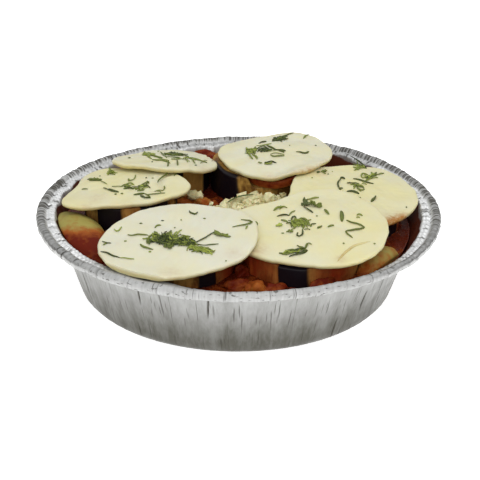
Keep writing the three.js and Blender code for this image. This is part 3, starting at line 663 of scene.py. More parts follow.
def distance_to_line(x, y, corners):
    """Distance of each point from a line of straight stretches."""
    nearest = np.full(np.shape(x), 1e9)
    for (ax, ay), (bx, by) in zip(corners, corners[1:]):
        dx, dy = bx - ax, by - ay
        share = np.clip(((x - ax) * dx + (y - ay) * dy) / (dx * dx + dy * dy), 0, 1)
        nearest = np.minimum(nearest, np.hypot(x - ax - share * dx, y - ay - share * dy))
    return nearest


def cheese_face(name, x, y, food):
    """Height of a slice's top with its fine relief: wide soft waves, small ones, and a crease that
    sinks as a bell-shaped groove between two low lips."""
    places = np.stack([x, y], -1)
    seed = 10 + list(SLICES).index(name)
    height = slice_top(name, x, y, food)
    height = height + 0.28 * ripple(places, 19, seed) + 0.07 * ripple(places, 5, seed + 20)
    if name in CREASES:
        corners, depth, width = CREASES[name]
        away = distance_to_line(x, y, corners)
        groove = np.exp(-(away / width) ** 2)
        lip = np.exp(-((away - 2.2 * width) / width) ** 2)
        height = height - depth * groove + 0.35 * depth * lip
    return height


def foil_wave(angle):
    """The wide pleats of the foil, -1 to 1, as the solid tray has them."""
    return 0.65 * np.sin(32 * angle) + 0.35 * np.sin(23 * angle + 1.3)


def wall_radius(tray, z):
    """Radius of the outside of the tray's wall at a height above its corner."""
    return tray.corner_radius + (z - tray.corner_height) * tray.wall_slope


def stretch(start, end, count):
    """Points of a straight stretch without its last point."""
    return np.linspace(start, end, count, endpoint=False)


def tray_profile(tray):
    """Radius, height and side of each row of the tray, from the middle of the underside over the
    bead to the middle of the inside: straight base and wall, a corner curve of the second degree,
    a rounded shoulder, and an arc for the rolled bead."""
    def corner(offset):
        share = shares(5)[:, None]
        start = np.array((tray.base_radius - offset / 4, offset))
        pull = np.array((tray.corner_radius - 1 - offset, offset))
        end = np.array((tray.corner_radius - offset, tray.corner_height))
        return (1 - share) ** 2 * start + 2 * share * (1 - share) * pull + share ** 2 * end

    top = wall_radius(tray, tray.wall_top)
    gutter, low, crest, high = tray.gutter_radius, tray.gutter_height, tray.crest_radius, tray.crest_height
    outer_top, inner_top = (top, tray.wall_top), (top - tray.foil, tray.wall_top)
    outer_corner, inner_corner = corner(0), corner(tray.foil)
    arc = np.radians(np.linspace(212, 512, 11) % 360)
    middle = Sizes(x=tray.rim_radius - tray.bead_radius, y=tray.rim_height - tray.bead_radius)
    bead = np.stack(round_about(middle, tray.bead_radius, arc), -1)
    under_shoulder = [(top + 0.8, low - 0.7), (top + 1.8, low - 0.75), (gutter, low - 0.9)]
    shoulder = [
        (gutter + 0.5, low + 0.1), (gutter, low), (gutter - 0.8, low + 0.25), (gutter - 1.6, low + 0.7),
        (gutter - 2.4, high - 0.15), (crest + 0.5, high), (crest, high), (crest - 0.6, high - 0.3),
        (crest - 1.1, high - 0.9)]
    outside = np.concatenate([
        stretch((0, 0), outer_corner[0], 3), outer_corner, stretch(outer_corner[-1], outer_top, 15)[1:],
        [outer_top], under_shoulder])
    inside = np.concatenate([
        shoulder, stretch(shoulder[-1], inner_top, 3)[1:], stretch(inner_top, inner_corner[-1], 8),
        inner_corner[::-1], stretch(inner_corner[0], (0, tray.foil), 3)[1:], [(0, tray.foil)]])
    rows = np.concatenate([outside, bead, inside])
    inner = np.arange(len(rows)) >= len(outside) + len(bead)
    return rows[:, 0], rows[:, 1], inner


def sharp_folds(angle, along, low, high, seed, count, depth, steep):
    """Sharp creases in the foil: each one is a bell-shaped groove beside a lower lip, runs between
    two places along the profile, and leans a little. Returns the relief, and how deep in a groove
    each point lies, from 0 to 1."""
    rng = np.random.default_rng(seed)
    relief = np.zeros(np.broadcast_shapes(angle.shape, along.shape))
    span = high - low
    for at in rng.uniform(0, TURN, count):
        deep = depth * rng.uniform(0.15, 1) ** steep
        width = rng.uniform(0.3, 0.55)
        start = low + span * rng.uniform(-0.3, 0.6)
        end = start + span * rng.uniform(0.15, 0.6)
        lean = rng.normal(0, 0.05) / RIM_ARC
        away = (angle - at - lean * (along - low) + math.pi) % TURN - math.pi
        arc = away * RIM_ARC
        reach = smooth_step(start, start + 0.15 * span, along)
        reach = reach * (1 - smooth_step(end - 0.15 * span, end, along))
        lip = 0.5 * np.exp(-((arc - 1.5 * width) / width) ** 2)
        relief += deep * reach * (lip - np.exp(-(arc / width) ** 2))
    return relief, np.clip(-relief / (0.6 * depth), 0, 1)


def tray_grid(tray):
    """Points of the tray: its profile turned round, moved out and up by the wide waves, by facets
    and creases on the wall, by close pleats and creases on the shoulder, and by dents on the bead.
    The marks say how bright the foil is painted (a painted reflection of the shaded table), how much painted
    shade it gets by how deep in a crease it lies, and how soiled with sauce it is."""
    radius, height, inner = (part[:, None] for part in tray_profile(tray))
    angle, ring = around(1440)
    share = height / tray.rim_height
    on_wall = smooth_step(tray.base_radius - 1, tray.corner_radius, radius) * (radius < tray.crest_radius - 1)
    outside = on_wall * (1 - inner)
    past_crest = smooth_step(tray.crest_radius - 2, tray.crest_radius, radius)
    on_bead = smooth_step(tray.gutter_radius, tray.gutter_radius + 2, radius)
    # Directions in which the painted-shade outer half of the bead reaches further in
    darker = np.maximum(near_angle(angle, 54, 40), 0.45 * near_angle(angle, 165, 35))
    outer_half = smooth_step(-0.8, 0.8, radius - tray.rim_radius + 4.4 + 2.6 * darker)
    pleated = past_crest * (1 - 0.85 * smooth_step(tray.rim_radius - 6, tray.rim_radius - 3, radius))
    front = smooth_step(0.6, 0.9, -np.sin(angle))
    behind = smooth_step(0.35, 0.85, np.sin(angle))
    drift = 2.5 * ripple(ring, 0.7, 3) + 1.2 * ripple(ring, 0.15, 4)
    jumble = 1.1 * ripple(ring, 0.09, 12)
    wide = tray.wave_depth * foil_wave(angle)
    lean = 0.02 * (height - 24)
    facets = 0.14 * zigzag(61 * angle + drift + lean) + 0.08 * zigzag(97 * angle - drift + 2 * lean)
    strength = np.clip(0.75 + 0.45 * ripple(ring, 0.05, 5) + 0.25 * ripple(ring, 0.3, 9), 0.1, 1.7)
    strength = strength * (1 - 0.75 * front) * (1 - 0.4 * behind)
    close = zigzag(210 * angle + 1.5 * drift + jumble + 0.25 * (radius - tray.crest_radius)) * strength
    fine = zigzag(480 * angle - 3 * drift + 0.8 * height)
    creased, groove = sharp_folds(angle, height, 4, tray.wall_top + 2, 31, 90, tray.crease_depth, 3)
    pinched, slit = sharp_folds(
        angle, radius, tray.crest_radius - 1, tray.rim_radius + 1, 32, 300, 0.9 * tray.crease_depth, 1.2)
    pinched, slit = pinched * (1 - 0.8 * front), np.minimum(1, 2.5 * slit) * (1 - 0.85 * front)
    out = np.maximum(-0.9, on_wall * (wide * share + facets * (0.4 + 0.6 * share) + creased))
    out += pleated * 0.15 * close + on_bead * (0.04 * fine + 0.12 * ripple(ring, 0.05, 6))
    up = (past_crest * wide * (1 - 0.5 * on_bead) + pleated * (tray.pleat_depth * close + pinched)
          + on_bead * (0.04 * fine + 0.12 * ripple(ring, 0.06, 7)))
    dent = share * near_angle(angle, *DENT) * smooth_step(0, tray.base_radius, radius)
    dent = dent * (1 - 1.5 * smooth_step(38, 46, height))
    # The rim is pulled out and bent, and its inner edge is pressed down along the front
    bent = smooth_step(36, 46, height)
    pulled = bent * near_angle(angle, *RIM_PULL)
    up = up + bent * sum(near_angle(angle, *bend) for bend in RIM_BENDS)
    degrees = wrapped(np.degrees(angle))
    pressed = smooth_step(-112, -92, degrees) * (1 - smooth_step(-35, 0, degrees))
    inside_bead = 1 - smooth_step(tray.gutter_radius - 1, tray.rim_radius - 1.5, radius)
    up = up - 2.6 * pressed * inside_bead * smooth_step(12, tray.wall_top, height)
    out = radius + out * (radius > 0) - dent + pulled
    grid = np.stack([out * np.cos(angle), out * np.sin(angle), height + up], -1)
    dirty = 45 + 1.8 * ripple(ring, 0.25, 8) - 5 * near_angle(angle, 100, 35)
    soil = inner * on_wall * (1 - smooth_step(dirty - 2, dirty + 2, height))
    # Painted reflection of the shaded table: the foil's colour is darkened on the outer wall, most of all
    # at its foot, and on the outer half of the bead, which has painted light and dark streaks except at
    # the front. The inner half of the bead is painted darker behind and at the front
    wall_painted_level = 0.02 + 0.36 * smooth_step(4, 40, height) + 0.04 * ripple(ring, 0.12, 10)
    shaded = smooth_step(-0.55, 0.0, np.sin(angle))
    streak = 0.5 + 0.5 * np.clip(1.6 * ripple(ring, 0.014, 11) + 0.4 * fine, -1, 1)
    outer_painted_level = shaded * (0.6 * streak + 0.02) + (1 - shaded) * (0.5 + 0.08 * streak)
    inner_painted_level = (1 - 0.45 * behind * (0.6 + 0.4 * streak)) * (1 - 0.42 * front)
    level = np.where(outside > 0.5, wall_painted_level, inner_painted_level * (1 - outer_half) + outer_painted_level * outer_half)
    return grid, {
        "soil": soil,
        "level": np.clip(level, 0, 1),
        # Painted shade: the crease mark darkens grooves, slits and the dark streaks of the shaded outer half
        # of the bead, and the hairs mark paints thin shaded lines of fine creases
        "crease": np.maximum(
            outside * groove + (past_crest > 0.5) * slit * 0.9, 0.6 * outer_half * shaded * (1 - streak)),
        "hairs": outside * (0.3 + 0.7 * share) + 0.8 * on_bead * front,
        "nicks": on_bead * front + 0.6 * on_bead * (1 - front),
        "dull": np.maximum(on_bead * front, past_crest * (0.6 * (1 - outer_half) + outer_half * shaded)),
    }


def foil_material(colours):
    """Pressed aluminium foil, dulled by the oven, with scuffs. Its colour is painted darker where it stands
    for foil that reflects the shaded table, and painted shade darkens its creases, hairlines and the
    streaked outer half of the bead. Inside, the wall is smeared with baked sauce."""
    material, add, shader, place, soil, level, crease, hairs, nicks, dirt = new_material(
        "pressed_aluminium_foil", "soil", "level", "crease", "hairs", "nicks", "dull")
    # Scuffs about 8 mm across
    scuff = add("TexNoise", {0: place, "Scale": 120, "Detail": 4, "Roughness": 0.6})
    scuffed = add("MapRange", {0: scuff, 1: 0.35, 2: 0.7, 3: 0.3, 4: 0.48})
    # Upright streaks 2 mm apart, drawn out along the height
    upright = add("Mapping", {0: place, "Scale": (1, 1, 0.12)})
    streak = add("TexNoise", {0: upright, "Scale": 500, "Detail": 4, "Roughness": 0.6})
    shift = add("MapRange", {0: streak, 1: 0.3, 2: 0.7, 3: -0.055, 4: 0.055})
    # Painted reflection: the level mark mixes the foil towards its darker colour where it would reflect the
    # shaded table
    bright = add("Math", {"operation": "ADD", "use_clamp": True, 0: level, 1: shift})
    foil = add("Mix", {"data_type": "RGBA", 0: bright, 6: colours.foil_shaded, 7: colours.foil})
    # Painted shade of fine creases: hairlines 0.5 mm wide that run up the wall, drawn along the arc of the
    # wall, and dark dashes of 1 mm
    apart = add("SeparateXYZ", {0: place}).outputs
    turn = add("Math", {"operation": "ARCTAN2", 0: apart[1], 1: apart[0]})
    arc = add("Math", {"operation": "MULTIPLY", 0: turn, 1: RIM_ARC * METRES})
    rise = add("Math", {"operation": "MULTIPLY", 0: apart[2], 1: 0.07})
    run = add("CombineXYZ", {0: arc, 2: rise})
    hair = add("TexNoise", {0: run, "Scale": 800, "Detail": 1})
    hairline = add("MapRange", {0: hair, 1: 0.64, 2: 0.7, 3: 0, 4: 0.85})
    lines_up = add("Math", {"operation": "MULTIPLY", 0: hairline, 1: hairs})
    # Dark dashes on the bead, in the crease colour
    dash = add("Mapping", {0: run, "Scale": (0.45, 1, 18)})
    spot = add("TexNoise", {0: dash, "Scale": 700, "Detail": 2})
    spotted = add("MapRange", {0: spot, 1: 0.6, 2: 0.66, 3: 0, 4: 0.75})
    dashed = add("Math", {"operation": "MULTIPLY", 0: spotted, 1: nicks})
    either = add("Math", {"operation": "MAXIMUM", 0: lines_up, 1: dashed})
    # Painted shade: hairlines and creases, and the dark dashes, take the crease colour
    marked = add("Math", {"operation": "MAXIMUM", 0: either, 1: crease})
    creased = add("Mix", {"data_type": "RGBA", 0: marked, 6: foil, 7: colours.foil_crease})
    # Smears of sauce 4 mm across
    smear = add("TexNoise", {0: place, "Scale": 260, "Detail": 5, "Roughness": 0.65})
    edge = add("Math", {"operation": "MULTIPLY_ADD", 0: soil, 1: 2.2, 2: -0.6})
    uneven = add("Math", {"operation": "MULTIPLY_ADD", 0: smear, 1: 1.6, 2: -0.8})
    amount = add("Math", {"operation": "ADD", "use_clamp": True, 0: edge, 1: uneven})
    tint = add("Mix", {"data_type": "RGBA", 0: smear, 6: colours.sauce, 7: colours.sauce_baked})
    look = add("Mix", {"data_type": "RGBA", 0: amount, 6: creased, 7: tint})
    duller = add("Math", {"operation": "MULTIPLY_ADD", 0: dirt, 1: 0.2, 2: scuffed})
    covered = add("Math", {"operation": "MULTIPLY_ADD", "use_clamp": True, 0: dirt, 1: 0.65, 2: amount})
    metal = add("Math", {"operation": "SUBTRACT", 0: 1, 1: covered})
    rough = add("Mix", {"data_type": "FLOAT", 0: amount, 2: duller, 3: 0.4})
    # Rolling lines drawn about 0.8 mm apart, far coarser than the real ones, so that they show
    lines = add("TexNoise", {0: place, "Scale": 900, "Detail": 2})
    bump = add("Bump", {"Height": lines, "Strength": 0.15, "Distance": 0.0004})
    fill(shader, {"Base Color": look, "Metallic": metal, "Roughness": rough, "Normal": bump})
    return material


def cheese_material(colours):
    """Soft sliced cheese: moist and slightly see-through, cream with warmer and greyer patches, a yellower
    edge that is partly painted shade down its side, and oily brown stains, which along the fold are painted
    shade."""
    material, add, shader, place, warm, edge, stain = new_material(
        "soft_sliced_cheese", "warm", "edge", "stain")
    # Patches about 20 mm across, and mottling of 2 mm
    patch = add("TexNoise", {0: place, "Scale": 50, "Detail": 3, "Roughness": 0.5})
    mottle = add("TexNoise", {0: place, "Scale": 480, "Detail": 4, "Roughness": 0.6})
    spread = add("MapRange", {0: patch, 1: 0.3, 2: 0.75, 3: -0.25, 4: 0.45})
    ripe = add("Math", {"operation": "ADD", "use_clamp": True, 0: warm, 1: spread})
    body = add("Mix", {"data_type": "RGBA", 0: ripe, 6: colours.cheese, 7: colours.cheese_warm})
    rim = add("Mix", {"data_type": "RGBA", 0: edge, 6: body, 7: colours.cheese_edge})
    uneven = add("MapRange", {0: mottle, 1: 0.35, 2: 0.65, 3: 0.4, 4: 1.1})
    amount = add("Math", {"operation": "MULTIPLY", "use_clamp": True, 0: stain, 1: uneven})
    look = add("Mix", {"data_type": "RGBA", 0: amount, 6: rim, 7: colours.cheese_stain})
    rough = add("MapRange", {0: mottle, 1: 0.3, 2: 0.7, 3: 0.38, 4: 0.55})
    bump = add("Bump", {"Height": mottle, "Strength": 0.25, "Distance": 0.0003})
    fill(shader, {
        "Base Color": look, "Roughness": rough, "Normal": bump, "IOR": 1.44, "Subsurface Weight": 0.25,
        "Subsurface Radius": (1, 0.75, 0.4), "Subsurface Scale": 0.003})
    return material


def eggplant_material(colours):
    """Baked eggplant: wet brown flesh with upright fibres, browner and redder where sauce soaked in,
    and smooth near-black peel."""
    material, add, shader, place, peel, soaked, gold = new_material(
        "baked_eggplant", "peel", "soaked", "gold")
    # Fibres 1.5 mm apart that run upward, and patches of 9 mm
    upright = add("Mapping", {0: place, "Scale": (1, 1, 0.2)})
    fibre = add("TexNoise", {0: upright, "Scale": 620, "Detail": 4, "Roughness": 0.6})
    patch = add("TexNoise", {0: place, "Scale": 110, "Detail": 4, "Roughness": 0.6})
    both = add("Mix", {"data_type": "FLOAT", 0: 0.72, 2: fibre, 3: patch})
    spread = add("MapRange", {0: both, 1: 0.38, 2: 0.62})
    # Painted light: each round's gold mark lightens or darkens its flesh, partly its real tone and partly
    # standing in for the light it gets
    shade = add("Math", {"operation": "ADD", "use_clamp": True, 0: spread, 1: gold})
    flesh = add("Mix", {"data_type": "RGBA", 0: shade, 6: colours.flesh_dark, 7: colours.flesh})
    uneven = add("MapRange", {0: patch, 1: 0.35, 2: 0.65, 3: 0.65, 4: 1.3})
    amount = add("Math", {"operation": "MULTIPLY", "use_clamp": True, 0: soaked, 1: uneven})
    oily = add("MapRange", {0: patch, 1: 0.52, 2: 0.7, 4: 0.6})
    bright = add("Mix", {"data_type": "RGBA", 0: oily, 6: colours.flesh_stained, 7: colours.sauce_oil})
    stained = add("Mix", {"data_type": "RGBA", 0: amount, 6: flesh, 7: bright})
    look = add("Mix", {"data_type": "RGBA", 0: peel, 6: stained, 7: colours.peel})
    bump = add("Bump", {"Height": fibre, "Strength": 0.35, "Distance": 0.0006})
    fill(shader, {
        "Base Color": look, "Normal": bump, "Roughness": 0.42, "IOR": 1.38, "Specular IOR Level": 0.3,
        "Coat Weight": 0.05, "Coat Roughness": 0.2})
    return material


def tomato_material(colours):
    """Cooked tomato: moist skin that grades from a pale green-yellow shoulder over orange to red,
    with fine wrinkles."""
    material, add, shader, place, pale = new_material("cooked_tomato", "pale")
    # Mottling 5 mm across
    mottle = add("TexNoise", {0: place, "Scale": 200, "Detail": 4, "Roughness": 0.6})
    shift = add("Math", {"operation": "MULTIPLY_ADD", 0: mottle, 1: 1.1, 2: -0.55})
    share = add("Math", {"operation": "ADD", "use_clamp": True, 0: pale, 1: shift})
    ramp = add("ValToRGB", {0: share})
    stops = ramp.color_ramp.elements
    stops[0].color = (*colours.tomato, 1)
    stops[1].color = (*colours.tomato_shoulder, 1)
    stops.new(0.5).color = (*colours.tomato_orange, 1)
    bump = add("Bump", {"Height": mottle, "Strength": 0.3, "Distance": 0.0006})
    fill(shader, {
        "Base Color": ramp, "Normal": bump, "Roughness": 0.45, "IOR": 1.36, "Specular IOR Level": 0.12})
    return material


def sauce_material(colours):
    """Reduced tomato sauce: wet and dark red-brown, with orange oil between coarse pulp."""
    material, add, shader, place = new_material("reduced_tomato_sauce")
    # Pools of oil 10 mm across and pulp of 2 mm
    pool = add("TexNoise", {0: place, "Scale": 100, "Detail": 3})
    pulp = add("TexNoise", {0: place, "Scale": 520, "Detail": 5, "Roughness": 0.65})
    both = add("Mix", {"data_type": "FLOAT", 0: 0.45, 2: pool, 3: pulp})
    oil = add("MapRange", {0: both, 1: 0.5, 2: 0.68})
    look = add("Mix", {"data_type": "RGBA", 0: oil, 6: colours.sauce, 7: colours.sauce_oil})
    rough = add("MapRange", {0: both, 1: 0.4, 2: 0.65, 3: 0.34, 4: 0.14})
    bump = add("Bump", {"Height": pulp, "Strength": 0.6, "Distance": 0.0008})
    fill(shader, {
        "Base Color": look, "Roughness": rough, "Normal": bump, "IOR": 1.42, "Specular IOR Level": 0.35})
    return material


def crumb_material(colours):
    """Grated hard cheese: dry pale crumbs, each a little lighter or darker, with grainy faces."""
    material, add, shader, place, shade = new_material("grated_hard_cheese", "shade")
    # Grain of 1 mm
    grain = add("TexNoise", {0: place, "Scale": 1000, "Detail": 3})
    both = add("Math", {"operation": "MULTIPLY_ADD", 0: grain, 1: 0.5, 2: shade})
    look = add("Mix", {"data_type": "RGBA", 0: both, 6: colours.crumb_shaded, 7: colours.crumb})
    bump = add("Bump", {"Height": grain, "Strength": 0.5, "Distance": 0.0004})
    fill(shader, {
        "Base Color": look, "Normal": bump, "Roughness": 0.62, "IOR": 1.44, "Subsurface Weight": 0.15,
        "Subsurface Scale": 0.0015})
    return material


def parsley_material(colours):
    """Chopped parsley: thin leaf, each shred its own green from dark to yellowish, with fine veins."""
    material, add, shader, place, shade = new_material("chopped_parsley", "shade")
    # Veins drawn 1 mm apart
    vein = add("TexNoise", {0: place, "Scale": 1000, "Detail": 3})
    both = add("Math", {"operation": "MULTIPLY_ADD", 0: vein, 1: 0.5, 2: shade})
    level = add("Math", {"operation": "SUBTRACT", "use_clamp": True, 0: both, 1: 0.25})
    look = add("Mix", {"data_type": "RGBA", 0: level, 6: colours.parsley_dark, 7: colours.parsley_light})
    bump = add("Bump", {"Height": vein, "Strength": 0.3, "Distance": 0.0002})
    fill(shader, {"Base Color": look, "Normal": bump, "Roughness": 0.45, "IOR": 1.42})
    return material


def floor_material(colours, glow):
    """Matt white acrylic lit from behind, with a barely uneven tone, so that it stays white around
    the dish."""
    material, add, shader, place = new_material("lit_white_acrylic")
    # Clouds about 300 mm across
    cloud = add("TexNoise", {0: place, "Scale": 3})
    look = add("Mix", {"data_type": "RGBA", 0: cloud, 6: colours.floor, 7: colours.floor_cloud})
    fill(shader, {
        "Base Color": look, "Roughness": 0.9, "Specular IOR Level": 0.1, "Emission Color": (1, 1, 1),
        "Emission Strength": glow})
    return material


def soft_room(studio):
    """The light of the room, by the height of the direction that it comes from: dim and warm near
    the horizon, and a white ceiling from about 35 degrees upward."""
    world = bpy.data.worlds.new("soft_studio_light")
    world.use_nodes = True
    add = partial(node, world.node_tree)
    apart = add("SeparateXYZ", {0: add("TexCoord", {}).outputs["Generated"]})
    rise = add("MapRange", {"interpolation_type": "SMOOTHSTEP", 0: apart.outputs[2], 1: 0.1, 2: 0.6})
    look = add("Mix", {"data_type": "RGBA", 0: rise, 6: studio.horizon, 7: (1, 1, 1)})
    fill(world.node_tree.nodes["Background"], {"Color": look, "Strength": studio.sky})
    return world


def cheese_grid(name, food):
    """Points of a slice: its outline drawn in from a soft uneven edge to the middle, above and
    below. The edge is a quarter ellipse above, about 1.4 mm in and 1.2 mm down, and a wider one below."""
    slice_ = SLICES[name]
    angle, ring = around(240)
    drop, inset, inset_below = 1.2, 0.035, 0.06
    over = np.linspace(0, math.pi / 2, 8)
    under = np.linspace(0, math.pi / 2, 6)[1:]
    share = np.concatenate([
        shares(36)[:-1] * (1 - inset), 1 - inset + inset * np.sin(over),
        1 - inset_below + inset_below * np.cos(under), shares(8)[::-1][1:] * (1 - inset_below)])
    depth = np.concatenate([
        np.zeros(35), drop * (1 - np.cos(over)),
        drop + (food.slice_thickness - drop) * np.sin(under), np.full(7, food.slice_thickness)])
    share, depth = share[:, None], depth[:, None]
    seed = 50 + list(SLICES).index(name)
    uneven = 1 + share ** 4 * (0.006 * ripple(ring, 0.9, seed) + 0.004 * ripple(ring, 0.25, seed + 10))
    x, y = slice_outline(slice_, angle, share * uneven, food)
    z = cheese_face(name, x, y, food) - depth
    # The yellower edge colour is weak near the outline and strong down the side and underside, where it is
    # partly painted shade
    edge = np.broadcast_to(0.15 * smooth_step(0.93, 1.0, share) + 0.7 * smooth_step(0.3, 2, depth), x.shape)
    stain = np.zeros(x.shape)
    for at_x, at_y, radius, strength in STAINS[name]:
        stain = np.maximum(stain, strength * np.exp(-((x - at_x) ** 2 + (y - at_y) ** 2) / radius ** 2))
    return np.stack([x, y, z], -1), {"edge": edge, "stain": stain, "warm": slice_.warm}


def fold_grid(name, food):
    """Points of a fold that stands on a slice: half of an oval carried along a smooth line, pressed
    into the cheese, and running out to nothing at both ends as the root of a sine."""
    corners, width, height = FOLDS[name]
    line = along_line(corners, 60)
    ahead = np.gradient(line, axis=0)
    side = np.stack([-ahead[:, 1], ahead[:, 0]], -1) / np.hypot(ahead[:, 0], ahead[:, 1])[:, None]
    turn, _ = around(12)
    fade = np.sin(math.pi * shares(60))[:, None] ** 0.5
    xy = line[:, None] + side[:, None] * (fade * np.cos(turn) * width / 2)[..., None]
    base = cheese_face(name, xy[..., 0], xy[..., 1], food) - 0.12
    grid = np.concatenate([xy, (base + fade * height * np.maximum(np.sin(turn), -0.5))[..., None]], -1)
    run = shares(60)[:, None]
    # Painted shade: the fold takes the edge colour and a stain that fades along it, standing in for its own
    # shade, darkest at its first end
    return grid, {"edge": 1 - 0.3 * run, "stain": 0.6 * (1 - run) ** 1.3, "warm": 0.4}


def round_grid(name, food):
    """Points of an eggplant round: upright side between a soft lower and a soft upper edge. Bands of
    peel stand proud with steep flanks that wander a little, and the flesh between is pared nearly
    flat, sunk by up to 0.3 of the relief more in its middle, and ribbed by upright fibres."""
    round_ = ROUNDS[name]
    angle, ring = around(300)
    degrees = np.degrees(angle)
    rise = np.concatenate([np.zeros(4), shares(30), np.ones(8)])[:, None]
    draw_in = np.concatenate([
        [round_.radius, 12, 4, 1.5], np.zeros(30), [0.3, 0.8, 1.6, 2.8, 4.5, 9, 16, round_.radius]])[:, None]
    sink = np.concatenate([np.zeros(34), [0.9, 0.5, 0.2, 0.05, 0, 0, 0, 0]])[:, None]
    ring = ring * np.ones_like(rise)[..., None]
    up = np.broadcast_to(rise, ring.shape[:2])[..., None]
    seed = 80 + list(ROUNDS).index(name)
    wander = 2.2 * ripple(np.concatenate([ring * 2, up], -1), 1.2, seed)
    run = (degrees + wander - round_.first) % 360
    pitch = 360 / round_.bands
    band = np.floor(run / pitch)
    width = round_.width * (1 + 0.12 * np.sin(band * 2.1))
    within = run - band * pitch
    peel = 1 - smooth_step(width - 1.2, width + 1.8, within)
    peel = np.maximum(peel, smooth_step(pitch - 2, pitch, within))
    hollow = np.clip((within - width) / (pitch - width), 0, 1)
    pared = food.peel_relief * (1 - peel) * (1 + 1.2 * hollow * (1 - hollow))
    fibre = ripple(np.concatenate([ring * 30, up * 4], -1), 3, seed + 10)
    lumps = ripple(np.concatenate([ring * 30, up * 25], -1), 11, seed + 20)
    relief = (1 - peel) * (0.10 * fibre - 0.1) + 0.28 * lumps - 0.25
    out = np.maximum(0, round_.radius - draw_in + (relief - pared) * (draw_in < round_.radius))
    x, y = round_about(round_, out, angle)
    top = under_slice(name, x, y, food)
    if name == "back_center":
        away = np.hypot(x - TOMATO_SLICE.x, y - TOMATO_SLICE.y) - TOMATO_SLICE.radius - 0.35
        top = top - (food.tomato_thickness + food.layer_gap) * (1 - smooth_step(0, SINK_EDGE, away))
    z = food.round_bottom + 5 * (draw_in < 1) * (rise == 0) + (top - food.round_bottom - sink) * rise
    soaked = 0.3 * (1 - smooth_step(0.55, 0.85, rise)) * np.ones_like(angle)
    for stain in round_.stains:
        soaked = np.maximum(soaked, near_angle(angle, *stain))
    peel = peel * (draw_in < 3)
    for at, spread in round_.hidden:
        peel = peel * smooth_step(spread - 4, spread, np.abs(wrapped(degrees - at)))
    return np.stack([x, y, z], -1), {"peel": peel, "soaked": soaked, "gold": round_.gold}


def ball(rows, columns):
    """Points of a unit ball, from its top pole to its bottom pole."""
    down = np.linspace(0, math.pi, rows)[:, None, None]
    _, ring = around(columns)
    return np.concatenate([np.sin(down) * ring, np.cos(down) * np.ones_like(ring[..., :1])], -1)


def turned_about_z(points, degrees):
    """Points turned about the upright axis."""
    x, y, z = np.moveaxis(points, -1, 0)
    return np.stack([*turned(x, y, math.radians(degrees)), z], -1)


def kept_clear(points, tray):
    """Points moved out from the eggplant rounds and in from the tray's wall where they would touch."""
    x, y, z = np.moveaxis(points, -1, 0)
    limit = wall_radius(tray, z) - tray.foil - WALL_GAP
    x, y = held_in(x, y, limit)
    for round_ in ROUNDS.values():
        dx, dy = x - round_.x, y - round_.y
        push = np.maximum(1, (round_.radius + 0.2) / np.maximum(np.hypot(dx, dy), 1))
        x, y = round_.x + dx * push, round_.y + dy * push
    return np.stack([*held_in(x, y, limit), z], -1)


def wedge_grid(name, tray):
    """Points of a tomato wedge: a flattened ball, slightly wrinkled, pitched and turned into place.
    It is palest towards its upper back."""
    wedge = WEDGES[name]
    points = ball(48, 72)
    points = points * (1 + 0.02 * ripple(points, 0.9, 120) + 0.008 * ripple(points, 0.3, 121))[..., None]
    x, y, z = np.moveaxis(points * (wedge.long, wedge.wide, wedge.high), -1, 0)
    x, z = turned(x, z, -math.radians(wedge.pitch))
    points = turned_about_z(np.stack([x, y, z], -1), wedge.turn)
    facing = points @ (0, 0.42, 0.9)
    pale = np.interp(smooth_step(-3.5, 5.5, facing - wedge.ripe), (0, 1), wedge.pale)
    return kept_clear(points + (wedge.x, wedge.y, wedge.z), tray), {"pale": pale}


def tomato_slice_grid(food):
    """Points of the tomato slice: a disc with a rounded rim under the cheese of the back round."""
    angle, ring = around(160)
    arc = np.linspace(math.pi / 2, -math.pi / 2, 11)
    share = np.concatenate([shares(6)[:-1] * 0.95, 0.95 + 0.05 * np.cos(arc), shares(6)[::-1][1:] * 0.95])
    sunk = np.concatenate([np.zeros(5), (1 - np.sin(arc)) / 2, np.ones(5)])
    share, sunk = share[:, None], sunk[:, None]
    out = TOMATO_SLICE.radius * share * (1 + 0.01 * ripple(ring, 0.8, 130) * share)
    x, y = round_about(TOMATO_SLICE, out, angle)
    z = under_slice("back_center", x, y, food) - sunk * food.tomato_thickness
    return np.stack([x, y, z], -1), {"pale": 0.12 + 0.3 * smooth_step(0.6, 1, sunk)}


def sauce_grid(tray, food):
    """Points of the sauce: an uneven top that creeps up the eggplant rounds and the wall within
    about 2 mm of them, a side along the tray's wall, and a flat bottom."""
    _, ring = around(300)
    level = food.sauce_level
    rim = wall_radius(tray, level) - tray.foil - SAUCE_GAP
    top = shares(90)[:, None] ** 0.8 * rim
    places = top[..., None] * ring
    x, y = np.moveaxis(places, -1, 0)
    z = level - 0.2 + 0.35 * ripple(places, 9, 140) + 0.16 * ripple(places, 3, 141)
    z = z + 0.7 * np.exp(-(rim - top) / 1.3)
    for round_ in ROUNDS.values():
        away = np.abs(np.hypot(x - round_.x, y - round_.y) - round_.radius)
        z = z + 0.6 * np.exp(-away / 1.4)
    low = np.linspace(level, tray.corner_height, 8)[1:, None]
    side = (wall_radius(tray, low) - tray.foil - SAUCE_GAP)[..., None] * ring
    under = shares(5)[::-1, None, None] * (tray.base_radius - 1) * ring
    bottom = np.full(under.shape[:2], tray.foil + 0.4)
    x, y = np.moveaxis(np.concatenate([places, side, under]), -1, 0)
    z = np.concatenate([z, np.broadcast_to(low, side.shape[:2]), bottom])
    radius = np.hypot(x, y)
    dent = z / tray.rim_height * near_angle(np.arctan2(ring[..., 1], ring[..., 0]), *DENT)
    shrink = 1 - dent * smooth_step(60, 95, radius) / np.maximum(radius, 1)
    return np.stack([x * shrink, y * shrink, z], -1), {}


def heap_top(share, food):
    """Height of the heap's core at a share of its outline: a low dome."""
    return food.sauce_level + 1.1 + HEAP.height * (1 - share * share)


